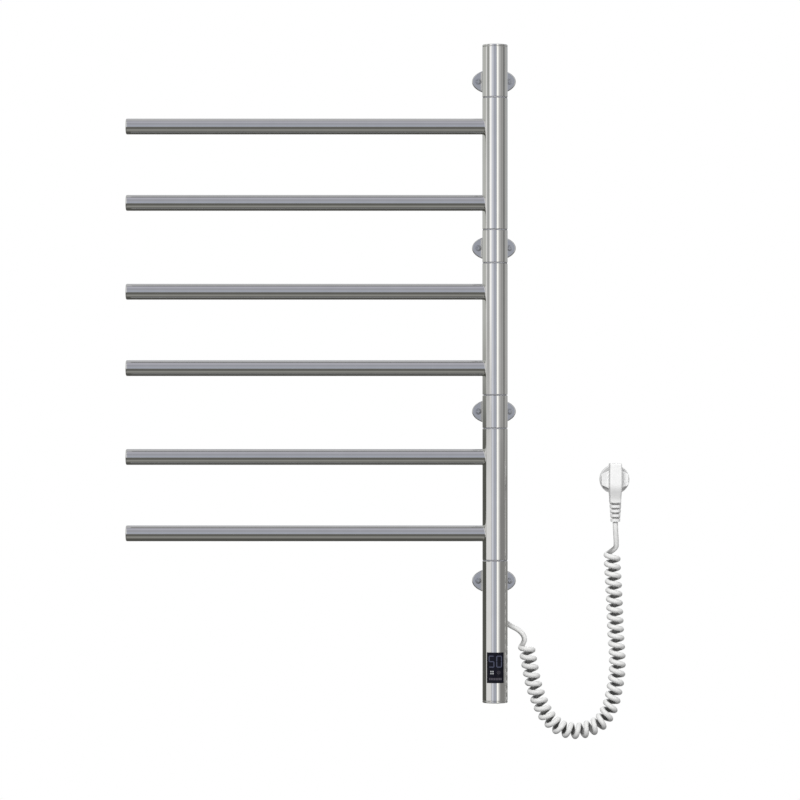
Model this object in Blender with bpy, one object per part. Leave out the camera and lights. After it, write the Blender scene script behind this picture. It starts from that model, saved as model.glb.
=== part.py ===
"""Electric swivel towel warmer: a wall-hung steel post with three turning sections of two bars each.

Units are metres. +Z is up, +X is to the right and -Y is towards the person who faces the wall, which is
the plane y = 0. The origin is the centre of the back face of the top wall plate. At rest the bars point
along -X.
"""

import math

import bmesh
import bpy
from mathutils import Matrix, Vector

# Gap between two pieces that touch or turn on each other
FIT = 0.0003

# Post, from the top down: a fixed section, then swivel and fixed sections in turn
POST_DIAMETER = 0.032
POST_WALL = 0.0015
POST_TO_WALL = 0.055
TOP_SECTION = 0.067
SWIVEL_SECTION = 0.167
MIDDLE_SECTION = 0.042
CONTROL_SECTION = 0.180
CAP_RIM = 0.0025
CAP_SPIGOT = 0.008
CAP_EDGE_RADIUS = 0.0008
CAP_SPIGOT_WALL = 0.002

# Where the end brackets meet the post, measured from the nearest swivel joint
TOP_BRACKET_ABOVE_JOINT = 0.025
LOW_BRACKET_BELOW_JOINT = 0.0285

# Spine that the sections are threaded on, and the bush at each swivel joint
SPINE_DIAMETER = 0.020
SPINE_WALL = 0.0015
SPINE_BELOW_LOW_BRACKET = 0.0165
JOINT_GAP = 0.0015
BUSH_FLANGE_INSET = 0.0005
BUSH_SPIGOT = 0.008

# Bars
BAR_DIAMETER = 0.020
BAR_WALL = 0.0012
BAR_REACH = 0.467
BAR_FROM_SECTION_TOP = 0.0364
BAR_FROM_SECTION_BOTTOM = 0.0340
BAR_CAP_RIM = 0.002
BAR_CAP_SPIGOT = 0.006
BAR_CAP_EDGE_RADIUS = 0.0012

# Heating cable inside a pair of bars
HEATER_DIAMETER = 0.0034
HEATER_BEND_RADIUS = 0.008
HEATER_OFF_SPINE = 0.00055
HEATER_SHORT_OF_BAR_END = 0.020

# Bracket: standoff, its stud, the oval wall plate and the two screws
STANDOFF_DIAMETER = 0.016
STUD_DIAMETER = 0.006
STUD_INSIDE_SPINE = 0.003
PLATE_WIDTH = 0.056
PLATE_HEIGHT = 0.032
PLATE_THICKNESS = 0.004
PLATE_EDGE_RADIUS = 0.0012
PLATE_SOCKET_DEPTH = 0.002
SCREW_SPACING = 0.040
SCREW_DIAMETER = 0.004
SCREW_HEAD_DIAMETER = 0.008
SCREW_HEAD_HEIGHT = 0.002
SCREW_IN_WALL = 0.025

# Touch display and what is behind it
LENS_WIDTH = 0.021
LENS_HEIGHT = 0.0385
LENS_CENTRE_ABOVE_POST_END = 0.045
BOARD_THICKNESS = 0.0012
DISPLAY_BOARD_WIDTH = 0.017
DISPLAY_BOARD_HEIGHT = 0.034
DISPLAY_BOARD_BEHIND_LENS = 0.004
CARRIER_HEIGHT = 0.062
POWER_BOARD_WIDTH = 0.016
POWER_BOARD_HEIGHT = 0.050
POCKET_DEPTH = 0.012

# Cord gland at the back of the control section
GLAND_ABOVE_POST_END = 0.110
GLAND_DIAMETER = 0.013
GLAND_TIP_DIAMETER = 0.0095
GLAND_NECK_DIAMETER = 0.008
GLAND_LENGTH = 0.010
GLAND_INSIDE_TUBE = 0.003

# Cord: the lead at the post, the curly stretch and the tail at the plug
CORD_DIAMETER = 0.0066
COIL_DIAMETER = 0.0215
LEAD_ROUTE = (
    (0.0000, -0.0284, -0.6800),
    (0.0001, -0.0250, -0.6801),
    (0.0016, -0.0205, -0.6810),
    (0.0056, -0.0175, -0.6840),
    (0.0120, -0.0162, -0.6890),
    (0.0205, -0.0160, -0.6950),
    (0.0300, -0.0160, -0.7002),
    (0.0365, -0.0160, -0.7065),
    (0.0385, -0.0160, -0.7125),
    (0.0377, -0.0160, -0.7163),
    (0.0365, -0.0160, -0.7190),
)
COIL_ROUTE = (
    (0.0409, -0.0160, -0.7211),
    (0.0457, -0.0160, -0.7470),
    (0.0503, -0.0160, -0.7698),
    (0.0575, -0.0160, -0.7906),
    (0.0678, -0.0160, -0.8107),
    (0.0828, -0.0160, -0.8244),
    (0.0990, -0.0160, -0.8290),
    (0.1166, -0.0160, -0.8277),
    (0.1355, -0.0160, -0.8185),
    (0.1472, -0.0160, -0.8004),
    (0.1531, -0.0160, -0.7782),
    (0.1567, -0.0160, -0.7547),
    (0.1569, -0.0160, -0.7327),
    (0.1553, -0.0160, -0.7098),
    (0.1538, -0.0160, -0.6760),
    (0.1526, -0.0160, -0.6496),
    (0.1509, -0.0160, -0.6200),
    (0.1502, -0.0160, -0.6010),
)
TAIL_ROUTE = (
    (0.1542, -0.0215, -0.5632),
    (0.1546, -0.0212, -0.5720),
    (0.1551, -0.0195, -0.5830),
    (0.1538, -0.0172, -0.5920),
    (0.1507, -0.0160, -0.5989),
)

# Angled two-pin plug, with its flat sides left and right and the cord leaving downwards
PLUG_CENTRE_X = 0.1542
PLUG_CENTRE_Z = -0.5087
PLUG_FACE_Y = 0.0075
PLUG_DISC_DIAMETER = 0.0372
PLUG_DISC_FRONT_Y = -0.0120
PLUG_HEX_FRONT_Y = -0.0165
PLUG_HEX_HALF_WIDTH = 0.0182
PLUG_HEX_CORNER_HEIGHT = 0.0080
PLUG_HEX_APEX_HEIGHT = 0.0170
PLUG_HEX_TAPER = 0.94
RIB_WIDTH = 0.0168
RIB_ABOVE_CENTRE = 0.0206
RIB_BELOW_CENTRE = 0.0290
RIB_FRONT_Y = -0.0370
RIB_EDGE_RADIUS = 0.003
PIN_DIAMETER = 0.0048
PIN_SPACING = 0.019
PIN_LENGTH = 0.019
PIN_IN_PLUG = 0.006
BOOT_TOP_DIAMETER = 0.0152
BOOT_TIP_DIAMETER = 0.0120
BOOT_LENGTH = 0.0244
BOOT_GROOVES = 4
BOOT_GROOVE_DEPTH = 0.0012
BOOT_Y = -0.0215

# Fineness of the round shapes
POST_SIDES = 32
BAR_SIDES = 20
SMALL_SIDES = 12
ARC_STEPS = 3
ROUTE_STEPS = 12

post_radius = POST_DIAMETER / 2
post_bore = post_radius - POST_WALL
post_y = -POST_TO_WALL
spine_radius = SPINE_DIAMETER / 2
spine_bore = spine_radius - SPINE_WALL
bar_radius = BAR_DIAMETER / 2
bar_bore = bar_radius - BAR_WALL
half_joint = JOINT_GAP / 2

# Heights of the section ends, from the top of the post to its bottom
section_ends = [TOP_SECTION - TOP_BRACKET_ABOVE_JOINT]
for section in (TOP_SECTION, SWIVEL_SECTION, MIDDLE_SECTION, SWIVEL_SECTION, MIDDLE_SECTION,
                SWIVEL_SECTION, CONTROL_SECTION):
    section_ends.append(section_ends[-1] - section)
post_top = section_ends[0]
joints = section_ends[1:-1]
post_end = section_ends[-1]
bracket_heights = (
    joints[0] + TOP_BRACKET_ABOVE_JOINT,
    (joints[1] + joints[2]) / 2,
    (joints[3] + joints[4]) / 2,
    joints[5] - LOW_BRACKET_BELOW_JOINT,
)


# ---------------------------------------------------------------- materials


def make_material(name, colour, roughness, metallic):
    material = bpy.data.materials.new(name)
    material.use_nodes = True
    shader = material.node_tree.nodes["Principled BSDF"]
    shader.inputs["Base Color"].default_value = (*colour, 1.0)
    shader.inputs["Roughness"].default_value = roughness
    shader.inputs["Metallic"].default_value = metallic
    material.diffuse_color = (*colour, 1.0)
    return material


# ---------------------------------------------------------------- mesh and object helpers


def clear_scene():
    for obj in list(bpy.data.objects):
        bpy.data.objects.remove(obj, do_unlink=True)


def place(obj, parent):
    bpy.context.scene.collection.objects.link(obj)
    obj.parent = parent
    return obj


def mesh_object(name, bm, material, parent, location=(0.0, 0.0, 0.0)):
    mesh = bpy.data.meshes.new(name)
    bm.to_mesh(mesh)
    bm.free()
    mesh.shade_smooth()
    mesh.set_sharp_from_angle(angle=math.radians(35))
    mesh.materials.append(material)
    obj = place(bpy.data.objects.new(name, mesh), parent)
    obj.location = location
    return obj


def cutter(name, bm, parent, location=(0.0, 0.0, 0.0)):
    """A tool shape for a Boolean: never part of the model itself."""
    mesh = bpy.data.meshes.new(name)
    bm.to_mesh(mesh)
    bm.free()
    obj = place(bpy.data.objects.new(name, mesh), parent)
    obj.location = location
    obj.hide_render = True
    obj.display_type = "WIRE"
    return obj


def combine(target, tool, operation):
    modifier = target.modifiers.new(f"{operation.lower()} {tool.name}", "BOOLEAN")
    modifier.operation = operation
    modifier.solver = "EXACT"
    modifier.object = tool


AXIS_TURN = {
    "X": Matrix.Rotation(math.radians(90), 3, "Y"),
    "Y": Matrix.Rotation(math.radians(-90), 3, "X"),
    "Z": Matrix.Identity(3),
}


def turned(profile, sides, axis="Z"):
    """A solid of revolution. The profile is a list of (radius, place along the axis).

    A profile that starts and ends on the axis gives a solid piece; any other is closed into a ring.
    """
    bm = bmesh.new()
    verts = [bm.verts.new((radius, 0.0, along)) for radius, along in profile]
    for start, end in zip(verts, verts[1:] + verts[:1]):
        if start.co.x > 0 or end.co.x > 0:
            bm.edges.new((start, end))
    bmesh.ops.spin(
        bm,
        geom=bm.verts[:] + bm.edges[:],
        cent=(0.0, 0.0, 0.0),
        axis=(0.0, 0.0, 1.0),
        angle=math.tau,
        steps=sides,
        use_merge=True,
    )
    bmesh.ops.remove_doubles(bm, verts=bm.verts[:], dist=1e-6)
    bmesh.ops.recalc_face_normals(bm, faces=bm.faces[:])
    bmesh.ops.rotate(bm, verts=bm.verts[:], cent=(0.0, 0.0, 0.0), matrix=AXIS_TURN[axis])
    return bm


def tube_profile(outer, inner, low, high):
    return [(outer, low), (outer, high), (inner, high), (inner, low)]


def rod_profile(radius, low, high):
    return [(0.0, low), (radius, low), (radius, high), (0.0, high)]


def rounded_cap_profile(radius, edge_radius, spigot_radius, spigot_bore, rim, spigot, away):
    """A cap whose outer face is at 0 and whose spigot points along `away` (+1 or -1)."""
    profile = [(0.0, 0.0)]
    for step in range(ARC_STEPS + 1):
        angle = math.radians(90) * step / ARC_STEPS
        across = radius - edge_radius + edge_radius * math.sin(angle)
        profile.append((across, away * edge_radius * (1 - math.cos(angle))))
    profile.append((radius, away * rim))
    profile.append((spigot_radius, away * rim))
    profile.append((spigot_radius, away * (rim + spigot)))
    profile.append((spigot_bore, away * (rim + spigot)))
    profile.append((spigot_bore, away * rim))
    profile.append((0.0, away * rim))
    return profile


def prism(outline, low, high, axis="Z", taper=1.0):
    """The outline's (a, b) points at `low`, and again at `high` scaled by `taper`, joined into a solid."""
    bm = bmesh.new()
    layers = []
    for along, scale in ((low, 1.0), (high, taper)):
        layers.append([bm.verts.new((a * scale, b * scale, along)) for a, b in outline])
    bm.faces.new(layers[0])
    bm.faces.new(layers[1])
    for i in range(len(outline)):
        j = (i + 1) % len(outline)
        bm.faces.new((layers[0][i], layers[0][j], layers[1][j], layers[1][i]))
    bmesh.ops.recalc_face_normals(bm, faces=bm.faces[:])
    bmesh.ops.rotate(bm, verts=bm.verts[:], cent=(0.0, 0.0, 0.0), matrix=AXIS_TURN[axis])
    return bm


def box(size, centre=(0.0, 0.0, 0.0)):
    bm = bmesh.new()
    bmesh.ops.create_cube(bm, size=1.0)
    bmesh.ops.scale(bm, verts=bm.verts[:], vec=size)
    bmesh.ops.translate(bm, verts=bm.verts[:], vec=centre)
    return bm


def smooth_route(points, spacing):
    """Evenly spaced points on the Catmull-Rom curve through the given points."""
    knots = [Vector(point) for point in points]
    knots = [2 * knots[0] - knots[1]] + knots + [2 * knots[-1] - knots[-2]]
    fine = []
    for before, start, end, after in zip(knots, knots[1:], knots[2:], knots[3:]):
        for step in range(ROUTE_STEPS):
            t = step / ROUTE_STEPS
            straight = 2 * start + (end - before) * t
            bend = (2 * before - 5 * start + 4 * end - after) * t**2
            twist = (3 * start - before - 3 * end + after) * t**3
            fine.append((straight + bend + twist) / 2)
    fine.append(knots[-2])
    travelled = [0.0]
    for start, end in zip(fine, fine[1:]):
        travelled.append(travelled[-1] + (end - start).length)
    count = max(2, round(travelled[-1] / spacing))
    route = []
    leg = 0
    for number in range(count + 1):
        target = travelled[-1] * number / count
        while leg < len(fine) - 2 and travelled[leg + 1] < target:
            leg += 1
        share = (target - travelled[leg]) / (travelled[leg + 1] - travelled[leg])
        route.append(fine[leg].lerp(fine[leg + 1], min(share, 1.0)))
    return route


def round_cord(name, route, diameter, bevel_resolution, material, parent):
    curve = bpy.data.curves.new(name, "CURVE")
    curve.dimensions = "3D"
    curve.bevel_depth = diameter / 2
    curve.bevel_resolution = bevel_resolution
    curve.use_fill_caps = True
    spline = curve.splines.new("POLY")
    spline.points.add(len(route) - 1)
    for point, at in zip(spline.points, route):
        point.co = (*at, 1.0)
    curve.materials.append(material)
    return place(bpy.data.objects.new(name, curve), parent)


# ---------------------------------------------------------------- fixed post


def add_post_sections(post, steel):
    """The fixed sections of the post, each a plain tube between two joints."""
    spans = {
        "bracket_sleeve_top": (post_top - CAP_RIM - FIT, joints[0] + half_joint),
        "bracket_sleeve_upper": (joints[1] - half_joint, joints[2] + half_joint),
        "bracket_sleeve_lower": (joints[3] - half_joint, joints[4] + half_joint),
        "control_tube": (joints[5] - half_joint, post_end + CAP_RIM + FIT),
    }
    sections = {}
    for name, (high, low) in spans.items():
        bm = turned(tube_profile(post_radius, post_bore, low, high), POST_SIDES)
        sections[name] = mesh_object(name, bm, steel, post)
    return sections


def add_post_caps(post, steel):
    spigot_radius = post_bore - FIT
    for name, height, away in (("top_cap", post_top, -1), ("bottom_cap", post_end, 1)):
        profile = rounded_cap_profile(post_radius, CAP_EDGE_RADIUS, spigot_radius,
                                      spigot_radius - CAP_SPIGOT_WALL, CAP_RIM, CAP_SPIGOT, away)
        mesh_object(name, turned(profile, POST_SIDES), steel, post, (0.0, 0.0, height))


def add_spine(post, steel):
    high = post_top - CAP_RIM - CAP_SPIGOT - FIT
    low = bracket_heights[-1] - SPINE_BELOW_LOW_BRACKET
    bm = turned(tube_profile(spine_radius, spine_bore, low, high), BAR_SIDES)
    return mesh_object("spine_tube", bm, steel, post)


def add_bushes(post, plastic):
    """A flanged bush in each joint: its flange parts the two tubes and its spigots centre them."""
    flange = post_radius - BUSH_FLANGE_INSET
    spigot = post_bore - FIT
    bore = spine_radius + FIT
    half_flange = half_joint - FIT
    half_length = half_joint + BUSH_SPIGOT
    profile = [
        (bore, -half_length), (spigot, -half_length), (spigot, -half_flange), (flange, -half_flange),
        (flange, half_flange), (spigot, half_flange), (spigot, half_length), (bore, half_length),
    ]
    for number, height in enumerate(joints, start=1):
        mesh_object(f"joint_bush_{number}", turned(profile, BAR_SIDES), plastic, post, (0.0, 0.0, height))


# ---------------------------------------------------------------- brackets


def saddled_piece(name, body_profile, neck_profile, sides, height, material, post):
    """A turned piece along +Y that fits the back of the post, with a neck that goes into the post."""
    piece = mesh_object(name, turned(body_profile, sides, "Y"), material, post, (0.0, 0.0, height))
    widest = max(radius for radius, along in body_profile)
    saddle = turned(rod_profile(post_radius + FIT, -2 * widest, 2 * widest), POST_SIDES)
    combine(piece, cutter(f"saddle_{name}", saddle, post, (0.0, 0.0, height)), "DIFFERENCE")
    neck = cutter(f"neck_{name}", turned(neck_profile, sides, "Y"), post, (0.0, 0.0, height))
    combine(piece, neck, "UNION")
    return piece


def wall_plate_mesh():
    """An oval plate with its back on y = 0 and a rounded front edge."""
    bm = bmesh.new()
    layers = [(0.0, 0.0)]
    for step in range(ARC_STEPS + 1):
        angle = math.radians(90) * step / ARC_STEPS
        inset = PLATE_EDGE_RADIUS * (1 - math.cos(angle))
        depth = PLATE_THICKNESS - PLATE_EDGE_RADIUS * (1 - math.sin(angle))
        layers.append((inset, depth))
    rings = []
    for inset, depth in layers:
        ring = []
        for side in range(POST_SIDES):
            angle = math.tau * side / POST_SIDES
            x = (PLATE_WIDTH / 2 - inset) * math.cos(angle)
            z = (PLATE_HEIGHT / 2 - inset) * math.sin(angle)
            ring.append(bm.verts.new((x, -depth, z)))
        rings.append(ring)
    bm.faces.new(rings[0])
    bm.faces.new(rings[-1])
    for near, far in zip(rings, rings[1:]):
        for i in range(POST_SIDES):
            j = (i + 1) % POST_SIDES
            bm.faces.new((near[i], near[j], far[j], far[i]))
    bmesh.ops.recalc_face_normals(bm, faces=bm.faces[:])
    return bm


def add_brackets(post, origin, sections, spine, steel, zinc):
    """Each bracket: a standoff whose stud reaches the spine, an oval wall plate and two screws."""
    standoff_radius = STANDOFF_DIAMETER / 2
    stud_radius = STUD_DIAMETER / 2
    plate_socket = PLATE_THICKNESS - PLATE_SOCKET_DEPTH
    body_end = POST_TO_WALL - plate_socket - FIT
    body = rod_profile(standoff_radius, spine_radius, body_end)
    stud = rod_profile(stud_radius, spine_bore - STUD_INSIDE_SPINE, body_end - PLATE_SOCKET_DEPTH)
    stud_bore = rod_profile(stud_radius + FIT, spine_bore / 2, post_radius + POST_WALL)

    screw_radius = SCREW_DIAMETER / 2
    head_radius = SCREW_HEAD_DIAMETER / 2
    head_end = -PLATE_THICKNESS + SCREW_HEAD_HEIGHT
    screw = [(0.0, -PLATE_THICKNESS), (head_radius, -PLATE_THICKNESS), (screw_radius, head_end),
             (screw_radius, SCREW_IN_WALL - screw_radius), (0.0, SCREW_IN_WALL)]
    hole_radius = screw_radius + FIT
    hole = [(0.0, -2 * PLATE_THICKNESS), (head_radius + FIT, -2 * PLATE_THICKNESS),
            (head_radius + FIT, -PLATE_THICKNESS), (hole_radius, head_end),
            (hole_radius, PLATE_THICKNESS), (0.0, PLATE_THICKNESS)]
    socket = rod_profile(standoff_radius + FIT, -2 * PLATE_THICKNESS, -plate_socket)

    for number, (height, sleeve) in enumerate(zip(bracket_heights, sections.values()), start=1):
        bore = cutter(f"stud_bore_{number}", turned(stud_bore, SMALL_SIDES, "Y"), post, (0.0, 0.0, height))
        combine(sleeve, bore, "DIFFERENCE")
        combine(spine, bore, "DIFFERENCE")
        saddled_piece(f"standoff_{number}", body, stud, SMALL_SIDES, height, steel, post)

        plate = mesh_object(f"wall_plate_{number}", wall_plate_mesh(), steel, origin, (0.0, 0.0, height))
        socket_cut = turned(socket, SMALL_SIDES, "Y")
        combine(plate, cutter(f"plate_socket_{number}", socket_cut, origin, (0.0, 0.0, height)), "DIFFERENCE")
        for side, offset in (("left", -SCREW_SPACING / 2), ("right", SCREW_SPACING / 2)):
            at = (offset, 0.0, height)
            hole_cut = cutter(f"screw_hole_{side}_{number}", turned(hole, SMALL_SIDES, "Y"), origin, at)
            combine(plate, hole_cut, "DIFFERENCE")
            mesh_object(f"wall_screw_{side}_{number}", turned(screw, SMALL_SIDES, "Y"), zinc, origin, at)


# ---------------------------------------------------------------- swivel sections


def heater_leg(height, bend):
    """From the far end of a bar to beside the spine, where it bends up (1) or down (-1)."""
    beside_spine = spine_radius + HEATER_OFF_SPINE + HEATER_DIAMETER / 2
    far = BAR_REACH - HEATER_SHORT_OF_BAR_END
    turn = beside_spine + HEATER_BEND_RADIUS
    leg = [Vector((-far, 0.0, height))]
    for step in range(2 * ARC_STEPS + 1):
        angle = math.radians(90) * step / (2 * ARC_STEPS)
        x = -turn + HEATER_BEND_RADIUS * math.sin(angle)
        z = height + bend * HEATER_BEND_RADIUS * (1 - math.cos(angle))
        leg.append(Vector((x, 0.0, z)))
    return leg


def heater_route(upper_height, lower_height):
    """From the far end of the upper bar, down beside the spine, to the far end of the lower bar."""
    return heater_leg(upper_height, -1) + heater_leg(lower_height, 1)[::-1]


def add_swivel(number, high, low, steel, silicone):
    """One turning section: its tube, two hollow bars with end caps and the heating cable in them."""
    axis = bpy.data.objects.new(f"swivel_axis_{number}", None)
    place(axis, None)
    axis.location = (0.0, post_y, (high + low) / 2)
    half_length = SWIVEL_SECTION / 2 - half_joint
    upper_height = SWIVEL_SECTION / 2 - BAR_FROM_SECTION_TOP
    lower_height = BAR_FROM_SECTION_BOTTOM - SWIVEL_SECTION / 2
    bm = turned(tube_profile(post_radius, post_bore, -half_length, half_length), POST_SIDES)
    tube = mesh_object(f"swivel_tube_{number}", bm, steel, axis)

    bar_end = BAR_REACH - BAR_CAP_RIM - FIT
    spigot = bar_bore - FIT
    cap = rounded_cap_profile(bar_radius, BAR_CAP_EDGE_RADIUS, spigot, spigot - BAR_WALL,
                              BAR_CAP_RIM, BAR_CAP_SPIGOT, 1)
    for level, height in (("upper", upper_height), ("lower", lower_height)):
        at = (0.0, 0.0, height)
        hole = cutter(f"cable_hole_{level}_{number}",
                      turned(rod_profile(bar_bore, -POST_DIAMETER, 0.0), BAR_SIDES, "X"), axis, at)
        combine(tube, hole, "DIFFERENCE")
        bar = mesh_object(f"bar_{number}_{level}",
                          turned(tube_profile(bar_radius, bar_bore, -bar_end, -post_radius / 2), BAR_SIDES, "X"),
                          steel, axis, at)
        saddle = turned(rod_profile(post_radius + FIT, -BAR_DIAMETER, BAR_DIAMETER), POST_SIDES)
        combine(bar, cutter(f"saddle_bar_{level}_{number}", saddle, axis, at), "DIFFERENCE")
        mesh_object(f"bar_cap_{number}_{level}", turned(cap, BAR_SIDES, "X"), steel, axis,
                    (-BAR_REACH, 0.0, height))
    round_cord(f"heater_cable_{number}", heater_route(upper_height, lower_height), HEATER_DIAMETER, 2, silicone, axis)


# ---------------------------------------------------------------- control section


def lens_outline():
    """The lens seen along Z: an arc of the post's own wall between two flat sides."""
    half_width = LENS_WIDTH / 2
    outline = []
    for radius, direction in ((post_radius, 1), (post_bore, -1)):
        reach = math.asin(half_width / radius)
        for step in range(4 * ARC_STEPS + 1):
            angle = direction * reach * (step / (2 * ARC_STEPS) - 1)
            outline.append((radius * math.sin(angle), -radius * math.cos(angle)))
    return outline


def add_display(post, control_tube, glass, board_green, plastic):
    centre = post_end + LENS_CENTRE_ABOVE_POST_END
    window = box((LENS_WIDTH + 2 * FIT, post_radius, LENS_HEIGHT + 2 * FIT), (0.0, -post_radius, centre))
    combine(control_tube, cutter("display_window", window, post), "DIFFERENCE")
    half_height = LENS_HEIGHT / 2
    mesh_object("display_lens", prism(lens_outline(), centre - half_height, centre + half_height), glass, post)

    board_front = -post_bore + DISPLAY_BOARD_BEHIND_LENS
    board_back = board_front + BOARD_THICKNESS
    board_size = (DISPLAY_BOARD_WIDTH, BOARD_THICKNESS, DISPLAY_BOARD_HEIGHT)
    board = box(board_size, (0.0, (board_front + board_back) / 2, centre))
    mesh_object("display_board", board, board_green, post)

    carrier_low = post_end + CAP_RIM + CAP_SPIGOT + FIT
    carrier_high = carrier_low + CARRIER_HEIGHT
    carrier_front = board_back + FIT
    carrier = mesh_object("board_carrier",
                          turned(rod_profile(post_bore - FIT, carrier_low, carrier_high), BAR_SIDES),
                          plastic, post)
    middle = (carrier_low + carrier_high) / 2
    flat_depth = POST_DIAMETER
    flat = box((2 * POST_DIAMETER, flat_depth, 2 * CARRIER_HEIGHT), (0.0, carrier_front - flat_depth / 2, middle))
    combine(carrier, cutter("carrier_flat", flat, post), "DIFFERENCE")
    pocket_size = (POWER_BOARD_WIDTH + 2 * FIT, 2 * POCKET_DEPTH, POWER_BOARD_HEIGHT + 2 * FIT)
    pocket = box(pocket_size, (0.0, carrier_front, middle))
    combine(carrier, cutter("board_pocket", pocket, post), "DIFFERENCE")
    power_y = carrier_front + POCKET_DEPTH - FIT - BOARD_THICKNESS / 2
    power = box((POWER_BOARD_WIDTH, BOARD_THICKNESS, POWER_BOARD_HEIGHT), (0.0, power_y, middle))
    mesh_object("power_board", power, board_green, post)


def add_gland(post, control_tube, white):
    height = post_end + GLAND_ABOVE_POST_END
    end = post_radius + GLAND_LENGTH
    widest = GLAND_DIAMETER / 2
    body = [(0.0, spine_radius), (widest, spine_radius), (widest, end - GLAND_LENGTH / 2),
            (GLAND_TIP_DIAMETER / 2, end), (0.0, end)]
    neck_radius = GLAND_NECK_DIAMETER / 2
    neck = rod_profile(neck_radius, post_bore - GLAND_INSIDE_TUBE, end - GLAND_LENGTH / 2)
    saddled_piece("cord_gland", body, neck, SMALL_SIDES, height, white, post)
    hole = turned(rod_profile(neck_radius + FIT, spine_radius, POST_DIAMETER), SMALL_SIDES, "Y")
    combine(control_tube, cutter("gland_hole", hole, post, (0.0, 0.0, height)), "DIFFERENCE")


# ---------------------------------------------------------------- cord and plug


def add_cord(origin, white):
    round_cord("cord_lead", smooth_route(LEAD_ROUTE, CORD_DIAMETER), CORD_DIAMETER, 2, white, origin)
    round_cord("cord_coil", smooth_route(COIL_ROUTE, COIL_DIAMETER / 2), COIL_DIAMETER, 4, white, origin)
    round_cord("cord_tail", smooth_route(TAIL_ROUTE, CORD_DIAMETER), CORD_DIAMETER, 2, white, origin)


def add_plug(origin, white, steel):
    """A round disc with a six-sided front, a tall grip rib over it, two pins and the ribbed boot."""
    plug = bpy.data.objects.new("plug_centre", None)
    place(plug, origin)
    plug.location = (PLUG_CENTRE_X, 0.0, PLUG_CENTRE_Z)

    disc = turned(rod_profile(PLUG_DISC_DIAMETER / 2, PLUG_DISC_FRONT_Y, PLUG_FACE_Y), POST_SIDES, "Y")
    body = mesh_object("plug_body", disc, white, plug)
    hexagon = [
        (PLUG_HEX_HALF_WIDTH, -PLUG_HEX_CORNER_HEIGHT), (PLUG_HEX_HALF_WIDTH, PLUG_HEX_CORNER_HEIGHT),
        (0.0, PLUG_HEX_APEX_HEIGHT),
        (-PLUG_HEX_HALF_WIDTH, PLUG_HEX_CORNER_HEIGHT), (-PLUG_HEX_HALF_WIDTH, -PLUG_HEX_CORNER_HEIGHT),
        (0.0, -PLUG_HEX_APEX_HEIGHT),
    ]
    inside_disc = (PLUG_DISC_FRONT_Y + PLUG_FACE_Y) / 2
    front = prism(hexagon, inside_disc, PLUG_HEX_FRONT_Y, "Y", PLUG_HEX_TAPER)
    combine(body, cutter("plug_hexagon", front, plug), "UNION")

    rib_depth = inside_disc - RIB_FRONT_Y
    rib_height = RIB_ABOVE_CENTRE + RIB_BELOW_CENTRE
    rib_centre = (0.0, inside_disc - rib_depth / 2, (RIB_ABOVE_CENTRE - RIB_BELOW_CENTRE) / 2)
    rib = box((RIB_WIDTH, rib_depth, rib_height), rib_centre)
    outer_edges = [edge for edge in rib.edges if min(v.co.y for v in edge.verts) < inside_disc - FIT]
    bmesh.ops.bevel(rib, geom=outer_edges, offset=RIB_EDGE_RADIUS, segments=ARC_STEPS, profile=0.5,
                    affect="EDGES")
    combine(body, cutter("plug_rib", rib, plug), "UNION")

    for number, offset in ((1, -PIN_SPACING / 2), (2, PIN_SPACING / 2)):
        pin_radius = PIN_DIAMETER / 2
        bore = turned(rod_profile(pin_radius + FIT, PLUG_FACE_Y - PIN_IN_PLUG - FIT, 2 * PLUG_FACE_Y),
                      SMALL_SIDES, "Y")
        combine(body, cutter(f"pin_bore_{number}", bore, plug, (offset, 0.0, 0.0)), "DIFFERENCE")
        tip = PLUG_FACE_Y + PIN_LENGTH
        profile = [(0.0, PLUG_FACE_Y - PIN_IN_PLUG), (pin_radius, PLUG_FACE_Y - PIN_IN_PLUG),
                   (pin_radius, tip - pin_radius), (pin_radius / 2, tip), (0.0, tip)]
        mesh_object(f"plug_pin_{number}", turned(profile, SMALL_SIDES, "Y"), steel, plug, (offset, 0.0, 0.0))

    bands = 2 * BOOT_GROOVES + 1
    profile = [(0.0, 0.0)]
    for band in range(bands):
        share = (band + 0.5) / bands
        radius = (BOOT_TOP_DIAMETER + (BOOT_TIP_DIAMETER - BOOT_TOP_DIAMETER) * share) / 2
        radius -= BOOT_GROOVE_DEPTH * (band % 2)
        profile.append((radius, -BOOT_LENGTH * band / bands))
        profile.append((radius, -BOOT_LENGTH * (band + 1) / bands))
    profile.append((0.0, -BOOT_LENGTH))
    boot_top = -RIB_BELOW_CENTRE - FIT
    mesh_object("plug_boot", turned(profile, SMALL_SIDES), white, plug, (0.0, BOOT_Y, boot_top))


def main():
    clear_scene()
    steel = make_material("polished_steel", (0.62, 0.62, 0.61), 0.12, 1.0)
    zinc = make_material("screw_steel", (0.50, 0.50, 0.49), 0.30, 1.0)
    glass = make_material("display_glass", (0.012, 0.012, 0.020), 0.08, 0.0)
    plastic = make_material("dark_plastic", (0.05, 0.05, 0.05), 0.45, 0.0)
    board_green = make_material("circuit_board", (0.02, 0.16, 0.07), 0.40, 0.0)
    silicone = make_material("heater_silicone", (0.55, 0.10, 0.06), 0.50, 0.0)
    white = make_material("white_plastic", (0.80, 0.80, 0.80), 0.38, 0.0)

    origin = place(bpy.data.objects.new("wall_origin", None), None)
    post = place(bpy.data.objects.new("post_axis", None), origin)
    post.location = (0.0, post_y, 0.0)

    sections = add_post_sections(post, steel)
    add_post_caps(post, steel)
    spine = add_spine(post, steel)
    add_bushes(post, plastic)
    add_brackets(post, origin, sections, spine, steel, zinc)
    for number in (1, 2, 3):
        add_swivel(number, joints[2 * number - 2], joints[2 * number - 1], steel, silicone)
    add_display(post, sections["control_tube"], glass, board_green, plastic)
    add_gland(post, sections["control_tube"], white)
    add_cord(origin, white)
    add_plug(origin, white, steel)


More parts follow.
